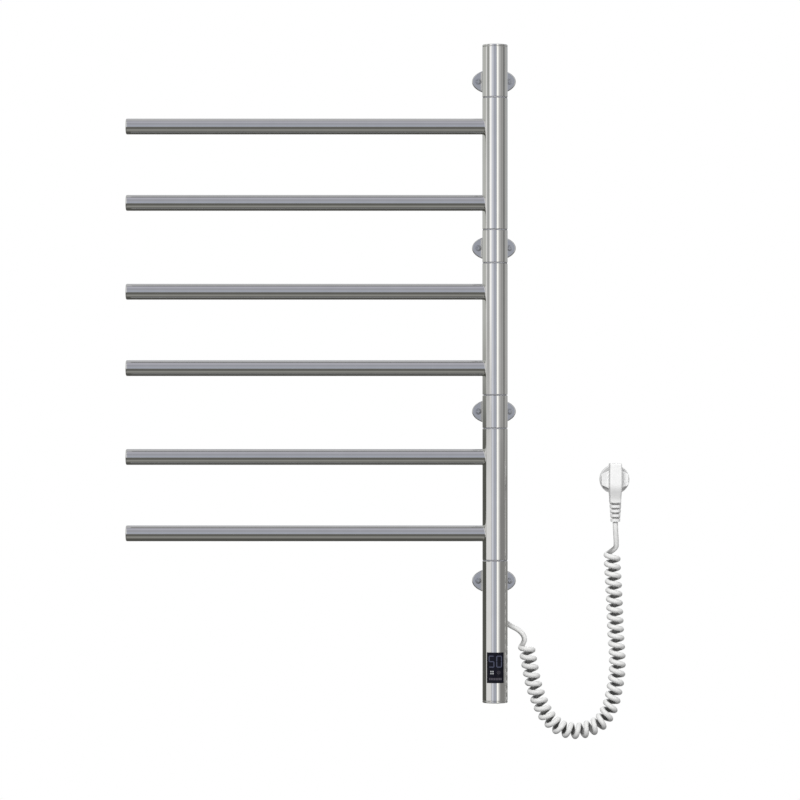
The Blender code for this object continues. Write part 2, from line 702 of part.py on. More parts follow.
if __name__ == "__main__":
    main()
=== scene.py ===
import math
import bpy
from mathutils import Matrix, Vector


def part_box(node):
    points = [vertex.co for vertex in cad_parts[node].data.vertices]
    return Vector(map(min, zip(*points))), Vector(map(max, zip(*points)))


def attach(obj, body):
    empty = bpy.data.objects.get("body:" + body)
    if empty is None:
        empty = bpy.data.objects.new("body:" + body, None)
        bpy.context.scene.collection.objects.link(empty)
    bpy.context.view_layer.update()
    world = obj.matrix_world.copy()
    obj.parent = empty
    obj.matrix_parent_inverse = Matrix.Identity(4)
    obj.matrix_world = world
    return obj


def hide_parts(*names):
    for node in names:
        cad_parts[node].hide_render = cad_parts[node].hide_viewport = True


bl_info = {
    "name": "Swivel Towel Warmer",
    "version": (1, 0, 0),
    "blender": (4, 5, 0),
    "location": "View3D > Sidebar > Towel Warmer",
    "description": "Finishes a swivel towel warmer: polished tubes, brackets, display, cord and plug",
    "category": "Object",
}

import bpy
import numpy as np
from mathutils import Vector

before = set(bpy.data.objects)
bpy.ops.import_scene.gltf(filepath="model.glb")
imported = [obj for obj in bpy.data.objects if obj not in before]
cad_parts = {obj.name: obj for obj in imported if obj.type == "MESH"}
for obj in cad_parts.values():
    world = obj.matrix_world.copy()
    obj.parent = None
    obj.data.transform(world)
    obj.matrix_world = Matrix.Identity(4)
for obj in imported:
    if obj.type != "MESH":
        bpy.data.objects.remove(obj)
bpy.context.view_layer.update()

MM = 0.001
TRUNK = "post"
SWIVELS = (1, 2, 3)
BRACKETS = (1, 2, 3, 4)
LEVELS = ("upper", "lower")
BUSHES = range(1, 7)
BARS = [(f"{number}_{level}", f"swivel_{number}") for number in SWIVELS for level in LEVELS]


def middle(node):
    """Middle of a frame node's box."""
    low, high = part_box(node)
    return (np.array(low) + np.array(high)) / 2


def span(node, axis):
    """Length of a frame node's box along axis 0, 1 or 2."""
    low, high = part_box(node)
    return high[axis] - low[axis]


POST_X, POST_Y = middle("top_cap")[:2]
POST_RADIUS = span("top_cap", 0) / 2
BAR_RADIUS = span("bar_1_upper", 2) / 2
PLATE_THICKNESS = span("wall_plate_1", 1)
LENS_LOW, LENS_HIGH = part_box("display_lens")
BOOT_LOW, BOOT_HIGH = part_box("plug_boot")
PLUG_LOW, PLUG_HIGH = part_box("plug_body")


# ---------------------------------------------------------------- sizes and colours a user may change


LENGTH = {"unit": "LENGTH", "subtype": "DISTANCE"}

COLOUR = {"size": 3, "subtype": "COLOR", "min": 0.0, "max": 1.0}


class RackSizes(bpy.types.PropertyGroup):
    tube_edge: bpy.props.FloatProperty(
        name="Tube edge", description="Rounding of the cut ends of the post's tubes",
        default=0.35 * MM, **LENGTH)
    tube_wall: bpy.props.FloatProperty(
        name="Post wall", description="Wall of the post's tubes", default=1.5 * MM, **LENGTH)
    bar_wall: bpy.props.FloatProperty(
        name="Bar wall", description="Wall of the bars", default=1.2 * MM, **LENGTH)
    bar_end_rounding: bpy.props.FloatProperty(
        name="Bar end rounding", description="Rounding of the cap at a bar's free end",
        default=1.7 * MM, **LENGTH)
    weld_fillet: bpy.props.FloatProperty(
        name="Weld fillet", description="Polished weld between a bar and its tube",
        default=0.9 * MM, **LENGTH)
    plate_edge: bpy.props.FloatProperty(
        name="Plate edge", description="Rounding of a wall plate's front edge", default=1.2 * MM, **LENGTH)
    cord_diameter: bpy.props.FloatProperty(
        name="Cord diameter", description="Outer diameter of the cord", default=6.6 * MM, **LENGTH)
    coil_diameter: bpy.props.FloatProperty(
        name="Coil diameter", description="Outer diameter of the curly stretch",
        default=21.5 * MM, **LENGTH)
    coil_pitch: bpy.props.FloatProperty(
        name="Coil pitch", description="Distance from one turn of the curly stretch to the next",
        default=11.26 * MM, **LENGTH)


class RackColours(bpy.types.PropertyGroup):
    steel: bpy.props.FloatVectorProperty(
        name="Steel", description="Tint of the polished stainless steel",
        default=(0.700, 0.695, 0.680), **COLOUR)
    screw: bpy.props.FloatVectorProperty(
        name="Screws", description="Tint of the wall screws", default=(0.52, 0.525, 0.54), **COLOUR)
    cord: bpy.props.FloatVectorProperty(
        name="Cord", description="Colour of the cord's sheath", default=(0.80, 0.80, 0.79), **COLOUR)
    plug: bpy.props.FloatVectorProperty(
        name="Plug", description="Colour of the plug and its boot", default=(0.86, 0.86, 0.855), **COLOUR)
    lens: bpy.props.FloatVectorProperty(
        name="Display glass", description="Colour of the display's dark glass",
        default=(0.006, 0.006, 0.010), **COLOUR)
    digits: bpy.props.FloatVectorProperty(
        name="Digits", description="Light of the temperature digits", default=(0.20, 0.22, 0.34), **COLOUR)


class StudioSettings(bpy.types.PropertyGroup):
    distance: bpy.props.FloatProperty(
        name="Camera distance", description="Distance from the camera to the post", default=4.5, **LENGTH)
    view_width: bpy.props.FloatProperty(
        name="View width", description="Width of the view at the post", default=1.012, **LENGTH)
    aim_left: bpy.props.FloatProperty(
        name="Aim left", description="How far left of the post the camera looks", default=0.1202, **LENGTH)
    aim_height: bpy.props.FloatProperty(
        name="Aim height", description="Height of the camera, from the top wall plate",
        default=-0.4073, **LENGTH)
    floor_height: bpy.props.FloatProperty(
        name="Floor height", description="Height of the floor, from the top wall plate",
        default=-1.50, **LENGTH)


# ---------------------------------------------------------------- surfaces


AXES = {
    "X": np.array([[0.0, 1.0, 0.0], [0.0, 0.0, 1.0], [1.0, 0.0, 0.0]]),
    "Y": np.array([[1.0, 0.0, 0.0], [0.0, 0.0, 1.0], [0.0, 1.0, 0.0]]),
    "Z": np.array([[1.0, 0.0, 0.0], [0.0, 1.0, 0.0], [0.0, 0.0, 1.0]]),
}


def round_angles(sides):
    """Angles evenly spaced round a whole turn."""
    return np.linspace(0.0, math.tau, sides, endpoint=False)


def signed_volume(points, triangles):
    """A sixth of the sum of each triangle's corner 1 dotted with the cross product of corners 2 and 3."""
    a, b, c = (points[triangles[:, i]] for i in range(3))
    return np.einsum("ij,ij->", a, np.cross(b, c)) / 6.0


def mesh_from_faces(name, points, quads, triangles):
    """A mesh whose faces point out: every face is turned over if the enclosed volume comes out negative."""
    halves = np.vstack([quads[:, [0, 1, 2]], quads[:, [0, 2, 3]], triangles])
    if signed_volume(points, halves) < 0:
        quads = quads[:, ::-1]
        triangles = triangles[:, ::-1]
    mesh = bpy.data.meshes.new(name)
    mesh.from_pydata(points.tolist(), [], quads.tolist() + triangles.tolist())
    mesh.shade_smooth()
    mesh.set_sharp_from_angle(angle=math.radians(38))
    mesh.update()
    return mesh


def grid_mesh(name, grid, wrap_rows=False):
    """A closed mesh from a grid of points, rows by columns.

    The columns join round. The rows join round when wrap_rows is set; otherwise the first and the last row
    each close on one point at their middle.
    """
    rows, columns = grid.shape[:2]
    index = np.arange(rows * columns).reshape(rows, columns)
    here = index if wrap_rows else index[:-1]
    below = np.roll(index, -1, axis=0) if wrap_rows else index[1:]
    quads = np.stack([here, np.roll(here, -1, 1), np.roll(below, -1, 1), below], axis=-1).reshape(-1, 4)
    points = grid.reshape(-1, 3)
    triangles = np.zeros((0, 3), int)
    if not wrap_rows:
        points = np.vstack([points, grid[0].mean(0), grid[-1].mean(0)])
        first = np.full(columns, rows * columns)
        head = np.stack([first, np.roll(index[0], -1), index[0]], axis=-1)
        tail = np.stack([first + 1, index[-1], np.roll(index[-1], -1)], axis=-1)
        triangles = np.vstack([head, tail])
    return mesh_from_faces(name, points, quads, triangles)


def spread_points(x, y, z):
    """Points from their x, y and z, which are spread to one shape."""
    return np.stack(np.broadcast_arrays(x, y, z), axis=-1)


def circles(radii, angle):
    """How far across and up the points of a row of circles lie; radii go by row, or row and column."""
    radii = radii.reshape(len(radii), -1)
    return radii * np.cos(angle), radii * np.sin(angle)


def rounded(corners, closed=False, steps=4, hold=0.05 * MM):
    """A profile with rounded corners. A corner is (across, along, radius of its rounding).

    Each corner becomes an arc that touches its two sides. A point is added a short way out on each side, so
    that smooth shading stays flat on the sides. The first and last corner of an open profile stay sharp.
    """
    spots = [np.array(corner[:2]) for corner in corners]
    profile = []
    for i, spot in enumerate(spots):
        radius = corners[i][2]
        if radius == 0 or (not closed and i in (0, len(corners) - 1)):
            profile.append(spot)
            continue
        back = spots[i - 1] - spot
        onward = spots[(i + 1) % len(corners)] - spot
        back = back / np.linalg.norm(back)
        onward = onward / np.linalg.norm(onward)
        half = math.acos(np.clip(back @ onward, -1.0, 1.0)) / 2
        reach = radius / math.tan(half)
        towards = (back + onward) / np.linalg.norm(back + onward)
        centre = spot + towards * radius / math.sin(half)
        start = spot + back * reach - centre
        end = spot + onward * reach - centre
        sweep = math.pi - 2 * half
        profile.append(spot + back * (reach + hold))
        for share in np.linspace(0.0, 1.0, steps + 1):
            weight_start = math.sin((1 - share) * sweep) / math.sin(sweep)
            weight_end = math.sin(share * sweep) / math.sin(sweep)
            profile.append(centre + weight_start * start + weight_end * end)
        profile.append(spot + onward * (reach + hold))
    return np.array(profile)


def revolve(profile, centre, axis, sides):
    """Points of a turned shape: the profile's (radius, along) pairs carried round an axis through centre."""
    across, up, along = AXES[axis]
    angle = round_angles(sides)
    radial = np.cos(angle)[:, None] * across + np.sin(angle)[:, None] * up
    profile = np.asarray(profile, float)
    return (np.asarray(centre) + profile[:, 0, None, None] * radial[None]
            + profile[:, 1, None, None] * along)


def smooth_curve(points, per_span):
    """Points on the Catmull-Rom curve through the given points, per_span of them to each stretch."""
    points = np.asarray(points, float)
    knots = np.vstack([2 * points[0] - points[1], points, 2 * points[-1] - points[-2]])
    before, start, end, after = (knots[i:len(knots) - 3 + i, None] for i in range(4))
    t = (np.arange(per_span) / per_span)[None, :, None]
    bend = 2 * before - 5 * start + 4 * end - after
    twist = 3 * start - before - 3 * end + after
    curve = (2 * start + (end - before) * t + bend * t**2 + twist * t**3) / 2
    return np.vstack([curve.reshape(-1, 3), points[-1]])


def lengths_along(points):
    """Distance travelled along a line of points, from its first point to each."""
    steps = np.linalg.norm(np.diff(points, axis=0), axis=1)
    return np.concatenate([[0.0], np.cumsum(steps)])


def at_lengths(points, targets):
    """Points on the line at the given distances from its start."""
    travelled = lengths_along(points)
    return np.stack([np.interp(targets, travelled, points[:, i]) for i in range(3)], axis=-1)


def carried_frames(path):
    """Two directions across the path at each point, carried along it with no twist."""
    tangents = np.gradient(path, axis=0)
    tangents /= np.linalg.norm(tangents, axis=1)[:, None]
    across = np.empty_like(path)
    start = np.cross(tangents[0], [0.0, 0.0, 1.0])
    across[0] = start / np.linalg.norm(start)
    for i in range(1, len(path)):
        carried = across[i - 1] - (across[i - 1] @ tangents[i]) * tangents[i]
        across[i] = carried / np.linalg.norm(carried)
    return across, np.cross(tangents, across)


def tube_along(path, radii, sides):
    """Points of a round tube: at each path point a circle of that point's radius, square to the path."""
    across, up = carried_frames(path)
    angle = round_angles(sides)
    ring = np.cos(angle)[None, :, None] * across[:, None] + np.sin(angle)[None, :, None] * up[:, None]
    return path[:, None] + np.broadcast_to(radii, len(path))[:, None, None] * ring


def smooth_step(value, low, high):
    """0 below low, 1 above high, and the cubic 3t^2 - 2t^3 between them."""
    t = np.clip((value - low) / (high - low), 0.0, 1.0)
    return t * t * (3 - 2 * t)


# ---------------------------------------------------------------- pieces


def add_piece(name, mesh, material, body, stands_for=()):
    """Puts a finished mesh in the scene, on its body, in place of the frame's nodes that it stands for."""
    piece = bpy.data.objects.new(name, mesh)
    bpy.context.scene.collection.objects.link(piece)
    mesh.materials.append(material)
    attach(piece, body)
    if stands_for:
        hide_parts(*stands_for)
    return piece


def mark_painted_shade(mesh, depth):
    """Stores painted shade for each point of a grid mesh, 0 to 1, for its material to darken its colour by."""
    values = np.ones(len(mesh.vertices)) * depth[-1, -1]
    values[:depth.size] = depth.reshape(-1)
    mesh.attributes.new("hollow_and_painted_shade", "FLOAT", "POINT").data.foreach_set("value", values)
    return mesh


def repaint(node, material):
    """Gives a frame node that stays in view a finished material."""
    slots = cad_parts[node].material_slots
    if not slots:
        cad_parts[node].data.materials.append(material)
    for material_slot in slots:
        material_slot.material = material


# ---------------------------------------------------------------- materials


def add_grid(node, suffix, grid, material, body=TRUNK, wrap_rows=False):
    """Adds the piece that is made from a grid of points and stands for one frame node."""
    return add_piece(f"{node}_{suffix}", grid_mesh(node, grid, wrap_rows), material, body, [node])


class Nodes:
    """Adds nodes to a shader tree. An input is given as a value or as another node's output."""

    def __init__(self, tree):
        self.tree = tree

    def fill(self, node, inputs):
        for key, value in inputs.items():
            if isinstance(value, bpy.types.NodeSocket):
                self.tree.links.new(value, node.inputs[key])
            else:
                node.inputs[key].default_value = value

    def node(self, kind, inputs=None, **settings):
        node = self.tree.nodes.new(kind)
        for key, value in settings.items():
            setattr(node, key, value)
        self.fill(node, inputs or {})
        return node

    def maths(self, operation, first, second=0.0):
        return self.node("ShaderNodeMath", {0: first, 1: second}, operation=operation).outputs["Value"]

    def mix(self, share, first, second):
        """A colour that goes from first to second as share goes from 0 to 1."""
        inputs = {"Factor": share, "A": first, "B": second}
        return self.node("ShaderNodeMix", inputs, data_type="RGBA").outputs["Result"]

    def spread(self, value, start, end, low, high, curve="LINEAR"):
        """The value's range start to end, spread over low to high; start may be the larger."""
        inputs = {"Value": value, "From Min": start, "From Max": end, "To Min": low, "To Max": high}
        return self.node("ShaderNodeMapRange", inputs, interpolation_type=curve).outputs["Result"]


class Shader(Nodes):
    """One material, built on Object coordinates. It is `found` if it was built before."""

    def __init__(self, name):
        self.material = bpy.data.materials.get(name)
        self.found = self.material is not None
        if self.found:
            return
        self.material = bpy.data.materials.new(name)
        self.material.use_nodes = True
        super().__init__(self.material.node_tree)
        self.base = self.tree.nodes["Principled BSDF"]
        self.place = self.node("ShaderNodeTexCoord").outputs["Object"]

    def set(self, **inputs):
        self.fill(self.base, {key.replace("_", " "): value for key, value in inputs.items()})

    def mapped(self, scale=(1.0, 1.0, 1.0)):
        return self.node("ShaderNodeMapping", {"Vector": self.place, "Scale": scale}).outputs["Vector"]

    def noise(self, scale, detail, stretch=(1.0, 1.0, 1.0), roughness=0.5):
        inputs = {"Vector": self.mapped(stretch), "Scale": scale, "Detail": detail, "Roughness": roughness}
        return self.node("ShaderNodeTexNoise", inputs).outputs["Fac"]

    def ranged(self, noise, low, high):
        """The middle of a noise's values, where nearly all of them lie, spread over low to high."""
        return self.spread(noise, 0.3, 0.7, low, high)

    def mottled(self, noise, first, second):
        return self.mix(self.ranged(noise, 0.0, 1.0), first, second)

    def bump(self, height, strength, distance):
        node = self.node("ShaderNodeBump", {"Height": height, "Strength": strength, "Distance": distance})
        self.set(Normal=node.outputs["Normal"])


def scaled(colour, share=1.0):
    """A colour with each channel times share, and an alpha of 1."""
    return tuple(channel * share for channel in colour) + (1.0,)


def grained(name, noise, colours, roughness, bump, **settings):
    """A material with one fine grain in its colour, its roughness and its surface.

    noise, roughness and bump are what Shader's noise, ranged and bump are called with.
    """
    shader = Shader(name)
    if not shader.found:
        grain = shader.noise(*noise)
        shader.set(Base_Color=shader.mottled(grain, *colours), Roughness=shader.ranged(grain, *roughness),
                   **settings)
        shader.bump(grain, *bump)
    return shader.material


def polished_steel(grain, shade=1.0):
    """Mirror-polished stainless steel: faint lines of the belt along the grain, and soft smudges."""
    shader = Shader(f"polished_steel_{grain}_{shade}")
    if shader.found:
        return shader.material
    steel = bpy.context.scene.rack_colours.steel
    lines = shader.noise(2600.0, 2.0, tuple(0.012 if axis == grain else 1.0 for axis in "XYZ"))
    smudge = shader.noise(22.0, 4.0)
    cloud = shader.noise(60.0, 3.0)
    rough = shader.maths("ADD", shader.ranged(lines, 0.030, 0.070), shader.ranged(smudge, 0.0, 0.035))
    # A shade below 1 paints the steel darker: a painted shade copy of the same steel
    shader.set(Base_Color=shader.mottled(cloud, scaled(steel, shade), scaled(steel, shade * 0.965)),
               Roughness=rough, Metallic=1.0)
    shader.bump(lines, 0.04, 0.00002)
    return shader.material


def screw_steel():
    """Zinc-plated steel: a fine mottle in colour and sheen, with turned marks."""
    screw = bpy.context.scene.rack_colours.screw
    return grained("screw_steel_plated", (900.0, 4.0), (scaled(screw), scaled(screw, 0.82)), (0.20, 0.38),
                   (0.12, 0.00004), Metallic=1.0)


def white_plastic(name, colour, roughness, coarse):
    """Moulded white plastic: a fine grain, faint cloudiness, and painted shade: darker where the stored shade
    attribute is high.
    """
    shader = Shader(name)
    if shader.found:
        return shader.material
    cloud = shader.noise(120.0, 3.0)
    grain = shader.noise(coarse, 4.0, roughness=0.6)
    tint = shader.mottled(cloud, scaled(colour), scaled(colour, 0.955))
    # Painted shade: the colour goes towards 0.26 of itself where the stored shade attribute is high
    hollow_and_painted_shade = shader.node("ShaderNodeAttribute", attribute_name="hollow_and_painted_shade").outputs["Fac"]
    shader.set(Base_Color=shader.mix(hollow_and_painted_shade, tint, scaled(colour, 0.26)), IOR=1.46,
               Roughness=shader.ranged(grain, roughness - 0.07, roughness + 0.08))
    shader.bump(grain, 0.04, 0.00004)
    return shader.material


def plug_plastic():
    """The white plastic of the plug and its boot."""
    return white_plastic("plug_plastic", bpy.context.scene.rack_colours.plug, 0.34, 1100.0)


def dark_plastic():
    """Grey-blue bearing plastic with a matt turned surface."""
    colours = (scaled((0.42, 0.425, 0.45)), scaled((0.35, 0.355, 0.38)))
    return grained("dark_bearing_plastic", (1800.0, 3.0), colours, (0.30, 0.48), (0.15, 0.00005))


def display_glass():
    """Dark touch glass: near black, with a clear hard coat and a few faint finger marks."""
    lens = bpy.context.scene.rack_colours.lens
    return grained("display_glass_dark", (160.0, 4.0), (scaled(lens), scaled(lens, 1.8)), (0.10, 0.20),
                   (0.02, 0.00005), IOR=1.25, Specular_IOR_Level=0.18)


def lit_mark(name, colour, strength):
    """A printed mark lit from behind: an even glow with a slight unevenness of the diffuser."""
    shader = Shader(name)
    if not shader.found:
        tint = shader.mottled(shader.noise(700.0, 2.0), scaled(colour), scaled(colour, 0.8))
        shader.set(Base_Color=(0.01, 0.01, 0.015, 1.0), Emission_Color=tint, Emission_Strength=strength,
                   Roughness=0.4, Specular_IOR_Level=0.1)
    return shader.material


def pin_metal():
    """Nickel-plated brass, slightly scuffed along the pin."""
    colours = (scaled((0.66, 0.63, 0.57)), scaled((0.52, 0.49, 0.43)))
    return grained("nickel_plated_pin", (1500.0, 3.0, (1.0, 0.05, 1.0)), colours, (0.18, 0.36),
                   (0.08, 0.00003), Metallic=1.0)


def circuit_board():
    """Green solder mask over a crowd of fine copper tracks."""
    shader = Shader("circuit_board_green")
    if not shader.found:
        cells = shader.node("ShaderNodeTexVoronoi", {"Vector": shader.mapped(), "Scale": 420.0},
                            distance="MANHATTAN")
        tracks = shader.spread(cells.outputs["Distance"], 0.45, 0.60, 0.0, 1.0)
        tint = shader.mix(tracks, scaled((0.015, 0.13, 0.055)), scaled((0.05, 0.26, 0.11)))
        shader.set(Base_Color=tint, Roughness=0.35)
        shader.bump(tracks, 0.2, 0.00004)
    return shader.material


def heater_silicone():
    """Red-brown silicone sheath of the heating cable, dull and slightly dusty."""
    colours = (scaled((0.50, 0.09, 0.05)), scaled((0.40, 0.10, 0.07)))
    return grained("heater_silicone_sheath", (420.0, 4.0), colours, (0.42, 0.62), (0.1, 0.00005))


# ---------------------------------------------------------------- post


POST_SIDES = 128
BAR_SIDES = 80
SMALL_SIDES = 48


# Play between a spigot or bush and the bore that it stands in
PLAY = 0.3 * MM


class RACK_OT_post_tubes(bpy.types.Operator):
    """Turns the plain tubes of the post, fixed and swivelling, with softly rounded ends."""
    bl_idname = "rack.post_tubes"
    bl_label = "Post tubes"

    def execute(self, context):
        sizes = context.scene.rack_sizes
        owners = {f"bracket_sleeve_{place}": TRUNK for place in ("top", "upper", "lower")}
        owners.update({f"swivel_tube_{number}": f"swivel_{number}" for number in SWIVELS})
        for node, body in owners.items():
            low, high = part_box(node)
            inner, edge = POST_RADIUS - sizes.tube_wall, sizes.tube_edge
            corners = [(POST_RADIUS, low.z, edge), (POST_RADIUS, high.z, edge), (inner, high.z, edge / 2),
                       (inner, low.z, edge / 2)]
            grid = revolve(rounded(corners, closed=True), (POST_X, POST_Y, 0.0), "Z", POST_SIDES)
            add_grid(node, "shell", grid, polished_steel("Z"), body=body, wrap_rows=True)
        return {"FINISHED"}


def windowed_tube(name, low, high, window_half_width, window_low, window_high, wall, edge):
    """A tube with a rectangular window in its front.

    The outer and inner walls are grids over height and angle. The angle lines follow the window's flat sides,
    which stand at the same distance from the middle on both walls, and the faces inside the window are left
    out of both walls and bridged round its rim.
    """
    outer, inner = POST_RADIUS, POST_RADIUS - wall
    reach_out = math.asin(window_half_width / outer)
    reach_in = math.asin(window_half_width / inner)
    front = np.linspace(-reach_out, reach_out, 25)
    back = np.linspace(reach_out, math.tau - reach_out, POST_SIDES - 22)[1:-1]
    angle_out = np.concatenate([front, back])
    angle_in = np.interp(angle_out, [-reach_out, reach_out, math.tau - reach_out],
                         [-reach_in, reach_in, math.tau - reach_in])
    turn = np.linspace(0.0, math.pi / 2, 5)
    ends_z = np.concatenate([low + edge * (1 - np.sin(turn))[::-1], [low + 2 * edge]])
    ends_r = np.concatenate([outer - edge * (1 - np.cos(turn))[::-1], [outer]])
    heights = np.concatenate([ends_z, [window_low, window_high], (low + high) - ends_z[::-1]])
    radii = np.concatenate([ends_r, [outer, outer], ends_r[::-1]])
    rows, columns = len(heights), len(angle_out)

    def wall_points(radius, angle):
        across, forward = radius[:, None] * np.sin(angle), radius[:, None] * np.cos(angle)
        return spread_points(POST_X + across, POST_Y - forward, heights[:, None]).reshape(-1, 3)

    points = np.vstack([wall_points(radii, angle_out), wall_points(np.full(rows, inner), angle_in)])
    index = np.arange(rows * columns).reshape(rows, columns)
    after = np.roll(index, -1, axis=1)
    quads = np.stack([index[:-1], after[:-1], after[1:], index[1:]], axis=-1)
    window_row, window_columns = len(ends_z), len(front) - 1
    keep = np.ones(quads.shape[:2], bool)
    keep[window_row, :window_columns] = False
    outside = quads[keep]
    inside = outside[:, ::-1] + rows * columns

    def rim(first, second):
        """Faces between a line of points on the outer wall and its match on the inner wall."""
        return np.stack([first, second, second + rows * columns, first + rows * columns], axis=-1)

    sill, head = index[window_row:window_row + 2, :window_columns + 1]
    faces = np.vstack([outside, inside, rim(after[0], index[0]), rim(index[-1], after[-1]),
                       rim(sill[:-1], sill[1:]), rim(head[1:], head[:-1]), rim(head[:1], sill[:1]),
                       rim(sill[-1:], head[-1:])])
    return mesh_from_faces(name, points, faces, np.zeros((0, 3), int))


class RACK_OT_control_tube(bpy.types.Operator):
    """Makes the lowest fixed section of the post, with the window for the display."""
    bl_idname = "rack.control_tube"
    bl_label = "Control tube"

    def execute(self, context):
        sizes = context.scene.rack_sizes
        low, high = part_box("control_tube")
        clearance = 0.12 * MM
        half_width = (LENS_HIGH.x - LENS_LOW.x) / 2 + clearance
        mesh = windowed_tube("control_tube", low.z, high.z, half_width, LENS_LOW.z - clearance,
                             LENS_HIGH.z + clearance, sizes.tube_wall, sizes.tube_edge)
        add_piece("control_tube_shell", mesh, polished_steel("Z"), TRUNK, ["control_tube"])
        return {"FINISHED"}


class RACK_OT_post_caps(bpy.types.Operator):
    """Turns the caps that close the post, each a thick rim with a rounded edge and a spigot."""
    bl_idname = "rack.post_caps"
    bl_label = "Post caps"

    def execute(self, context):
        spigot = POST_RADIUS - context.scene.rack_sizes.tube_wall - PLAY
        wall = 2.0 * MM
        for node, outer_end, inward in (("top_cap", 1, -1), ("bottom_cap", 0, 1)):
            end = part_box(node)[outer_end].z
            depth, rim = inward * span(node, 2), inward * 2.4 * MM
            corners = [(POST_RADIUS * 0.3, 0.0, 0.0), (POST_RADIUS, 0.0, 1.0 * MM),
                       (POST_RADIUS, rim, 0.3 * MM), (spigot, rim, 0.0), (spigot, depth, 0.4 * MM),
                       (spigot - wall, depth, 0.3 * MM), (spigot - wall, rim, 0.0)]
            grid = revolve(rounded(corners), (POST_X, POST_Y, end), "Z", POST_SIDES)
            add_grid(node, "turned", grid, polished_steel("Y"))
        return {"FINISHED"}


class RACK_OT_joint_bushes(bpy.types.Operator):
    """Turns the flanged bush in each swivel joint; only the edge of its flange shows, in a thin ring."""
    bl_idname = "rack.joint_bushes"
    bl_label = "Joint bushes"

    def execute(self, context):
        spigot = POST_RADIUS - context.scene.rack_sizes.tube_wall - PLAY
        bore = span("spine_tube", 0) / 2 + PLAY
        half_flange = 0.45 * MM
        for number in BUSHES:
            node = f"joint_bush_{number}"
            half_length, flange = span(node, 2) / 2, span(node, 0) / 2
            corners = [(bore, -half_length, 0.3 * MM), (spigot, -half_length, 0.5 * MM),
                       (spigot, -half_flange, 0.0), (flange, -half_flange, 0.2 * MM)]
            corners += [(across, -along, rounding) for across, along, rounding in corners[::-1]]
            grid = revolve(rounded(corners, closed=True), middle(node), "Z", POST_SIDES)
            add_grid(node, "turned", grid, dark_plastic(), wrap_rows=True)
        return {"FINISHED"}


# ---------------------------------------------------------------- bars


def saddle_reach(radius_across):
    """Distance from the post's axis to its surface, for a point that far to the side of the axis."""
    return np.sqrt(POST_RADIUS**2 - radius_across**2)


class RACK_OT_bars(bpy.types.Operator):
    """Draws the bars as thin-walled tubes: each starts in a small weld fillet that follows the round of its
    tube.
    """
    bl_idname = "rack.bars"
    bl_label = "Bars"

    def execute(self, context):
        sizes = context.scene.rack_sizes
        turn = np.linspace(0.0, math.pi / 2, 6)
        flare = sizes.weld_fillet * (1 - np.sin(turn))
        off_post = sizes.weld_fillet * (1 - np.cos(turn))
        sunk = 0.1 * MM
        radius = np.concatenate([BAR_RADIUS + flare, [BAR_RADIUS] * 3, [BAR_RADIUS - sizes.bar_wall] * 3])
        across, up = circles(radius, round_angles(BAR_SIDES))
        past_weld = POST_RADIUS + 4 * MM
        for name, body in BARS:
            node = f"bar_{name}"
            end = -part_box(node)[0].x
            away = np.empty_like(across)
            away[:len(turn)] = saddle_reach(across[:len(turn)]) + off_post[:, None] - sunk
            away[len(turn):-1] = np.array([past_weld, end - 1.0 * MM, end, end, past_weld])[:, None]
            away[-1] = saddle_reach(across[-1]) - sunk
            grid = spread_points(POST_X - away, POST_Y + across, middle(node)[2] + up)
            add_grid(node, "tube", grid, polished_steel("X"), body=body, wrap_rows=True)
        return {"FINISHED"}


class RACK_OT_bar_caps(bpy.types.Operator):
    """Turns the rounded cap at the free end of each bar."""
    bl_idname = "rack.bar_caps"
    bl_label = "Bar end caps"

    def execute(self, context):
        sizes = context.scene.rack_sizes
        spigot = BAR_RADIUS - sizes.bar_wall - PLAY
        bore = spigot - sizes.bar_wall
        rim, dome = 2.2 * MM, 0.15 * MM
        for name, body in BARS:
            node = f"bar_cap_{name}"
            depth = span(node, 0)
            corners = [(BAR_RADIUS * 0.25, -dome, 0.0), (BAR_RADIUS, 0.0, sizes.bar_end_rounding),
                       (BAR_RADIUS, rim, 0.12 * MM), (spigot, rim, 0.0), (spigot, depth, 0.4 * MM),
                       (bore, depth, 0.3 * MM), (bore, rim, 0.0)]
            at = (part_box(node)[0].x + dome, *middle(node)[1:])
            add_grid(node, "turned", revolve(rounded(corners, steps=6), at, "X", BAR_SIDES),
                     polished_steel("Y"), body=body)
        return {"FINISHED"}


# ---------------------------------------------------------------- brackets


def saddled_boss(node, rows):
    """Points of a turned piece along +Y from the post: its first two rows follow the round of the post.

    The first row is where the piece meets the post and the second is 0.6 mm farther out, both at the node's
    full radius. The others are given as (cut from that radius, distance from the post's axis).
    """
    cut, away = np.array([(0.0, 0.0), (0.0, 0.0), *rows]).T
    across, up = circles(span(node, 0) / 2 - cut, round_angles(SMALL_SIDES))
    away = np.repeat(away[:, None], SMALL_SIDES, axis=1)
    away[0] = saddle_reach(across[0])
    away[1] = saddle_reach(across[1]) + 0.6 * MM
    return spread_points(POST_X + across, POST_Y + away, middle(node)[2] + up)


class RACK_OT_standoffs(bpy.types.Operator):
    """Draws the round standoffs between the post and the wall plates, each with a groove by its plate."""
    bl_idname = "rack.standoffs"
    bl_label = "Standoffs"

    def execute(self, context):
        plate_front = -PLATE_THICKNESS - POST_Y
        groove = 0.5 * MM
        for number in BRACKETS:
            node = f"standoff_{number}"
            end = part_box(node)[1].y - POST_Y
            grid = saddled_boss(node, [
                (0.0, POST_RADIUS + 3.0 * MM), (0.0, plate_front - 3.4 * MM), (0.0, plate_front - 3.3 * MM),
                (groove, plate_front - 2.9 * MM), (groove, plate_front - 2.5 * MM),
                (0.0, plate_front - 2.1 * MM), (0.0, plate_front - 2.0 * MM), (0.0, plate_front - 0.2 * MM),
                (0.0, end - 0.2 * MM), (0.3 * MM, end)])
            add_grid(node, "turned", grid, polished_steel("Y"))
        return {"FINISHED"}


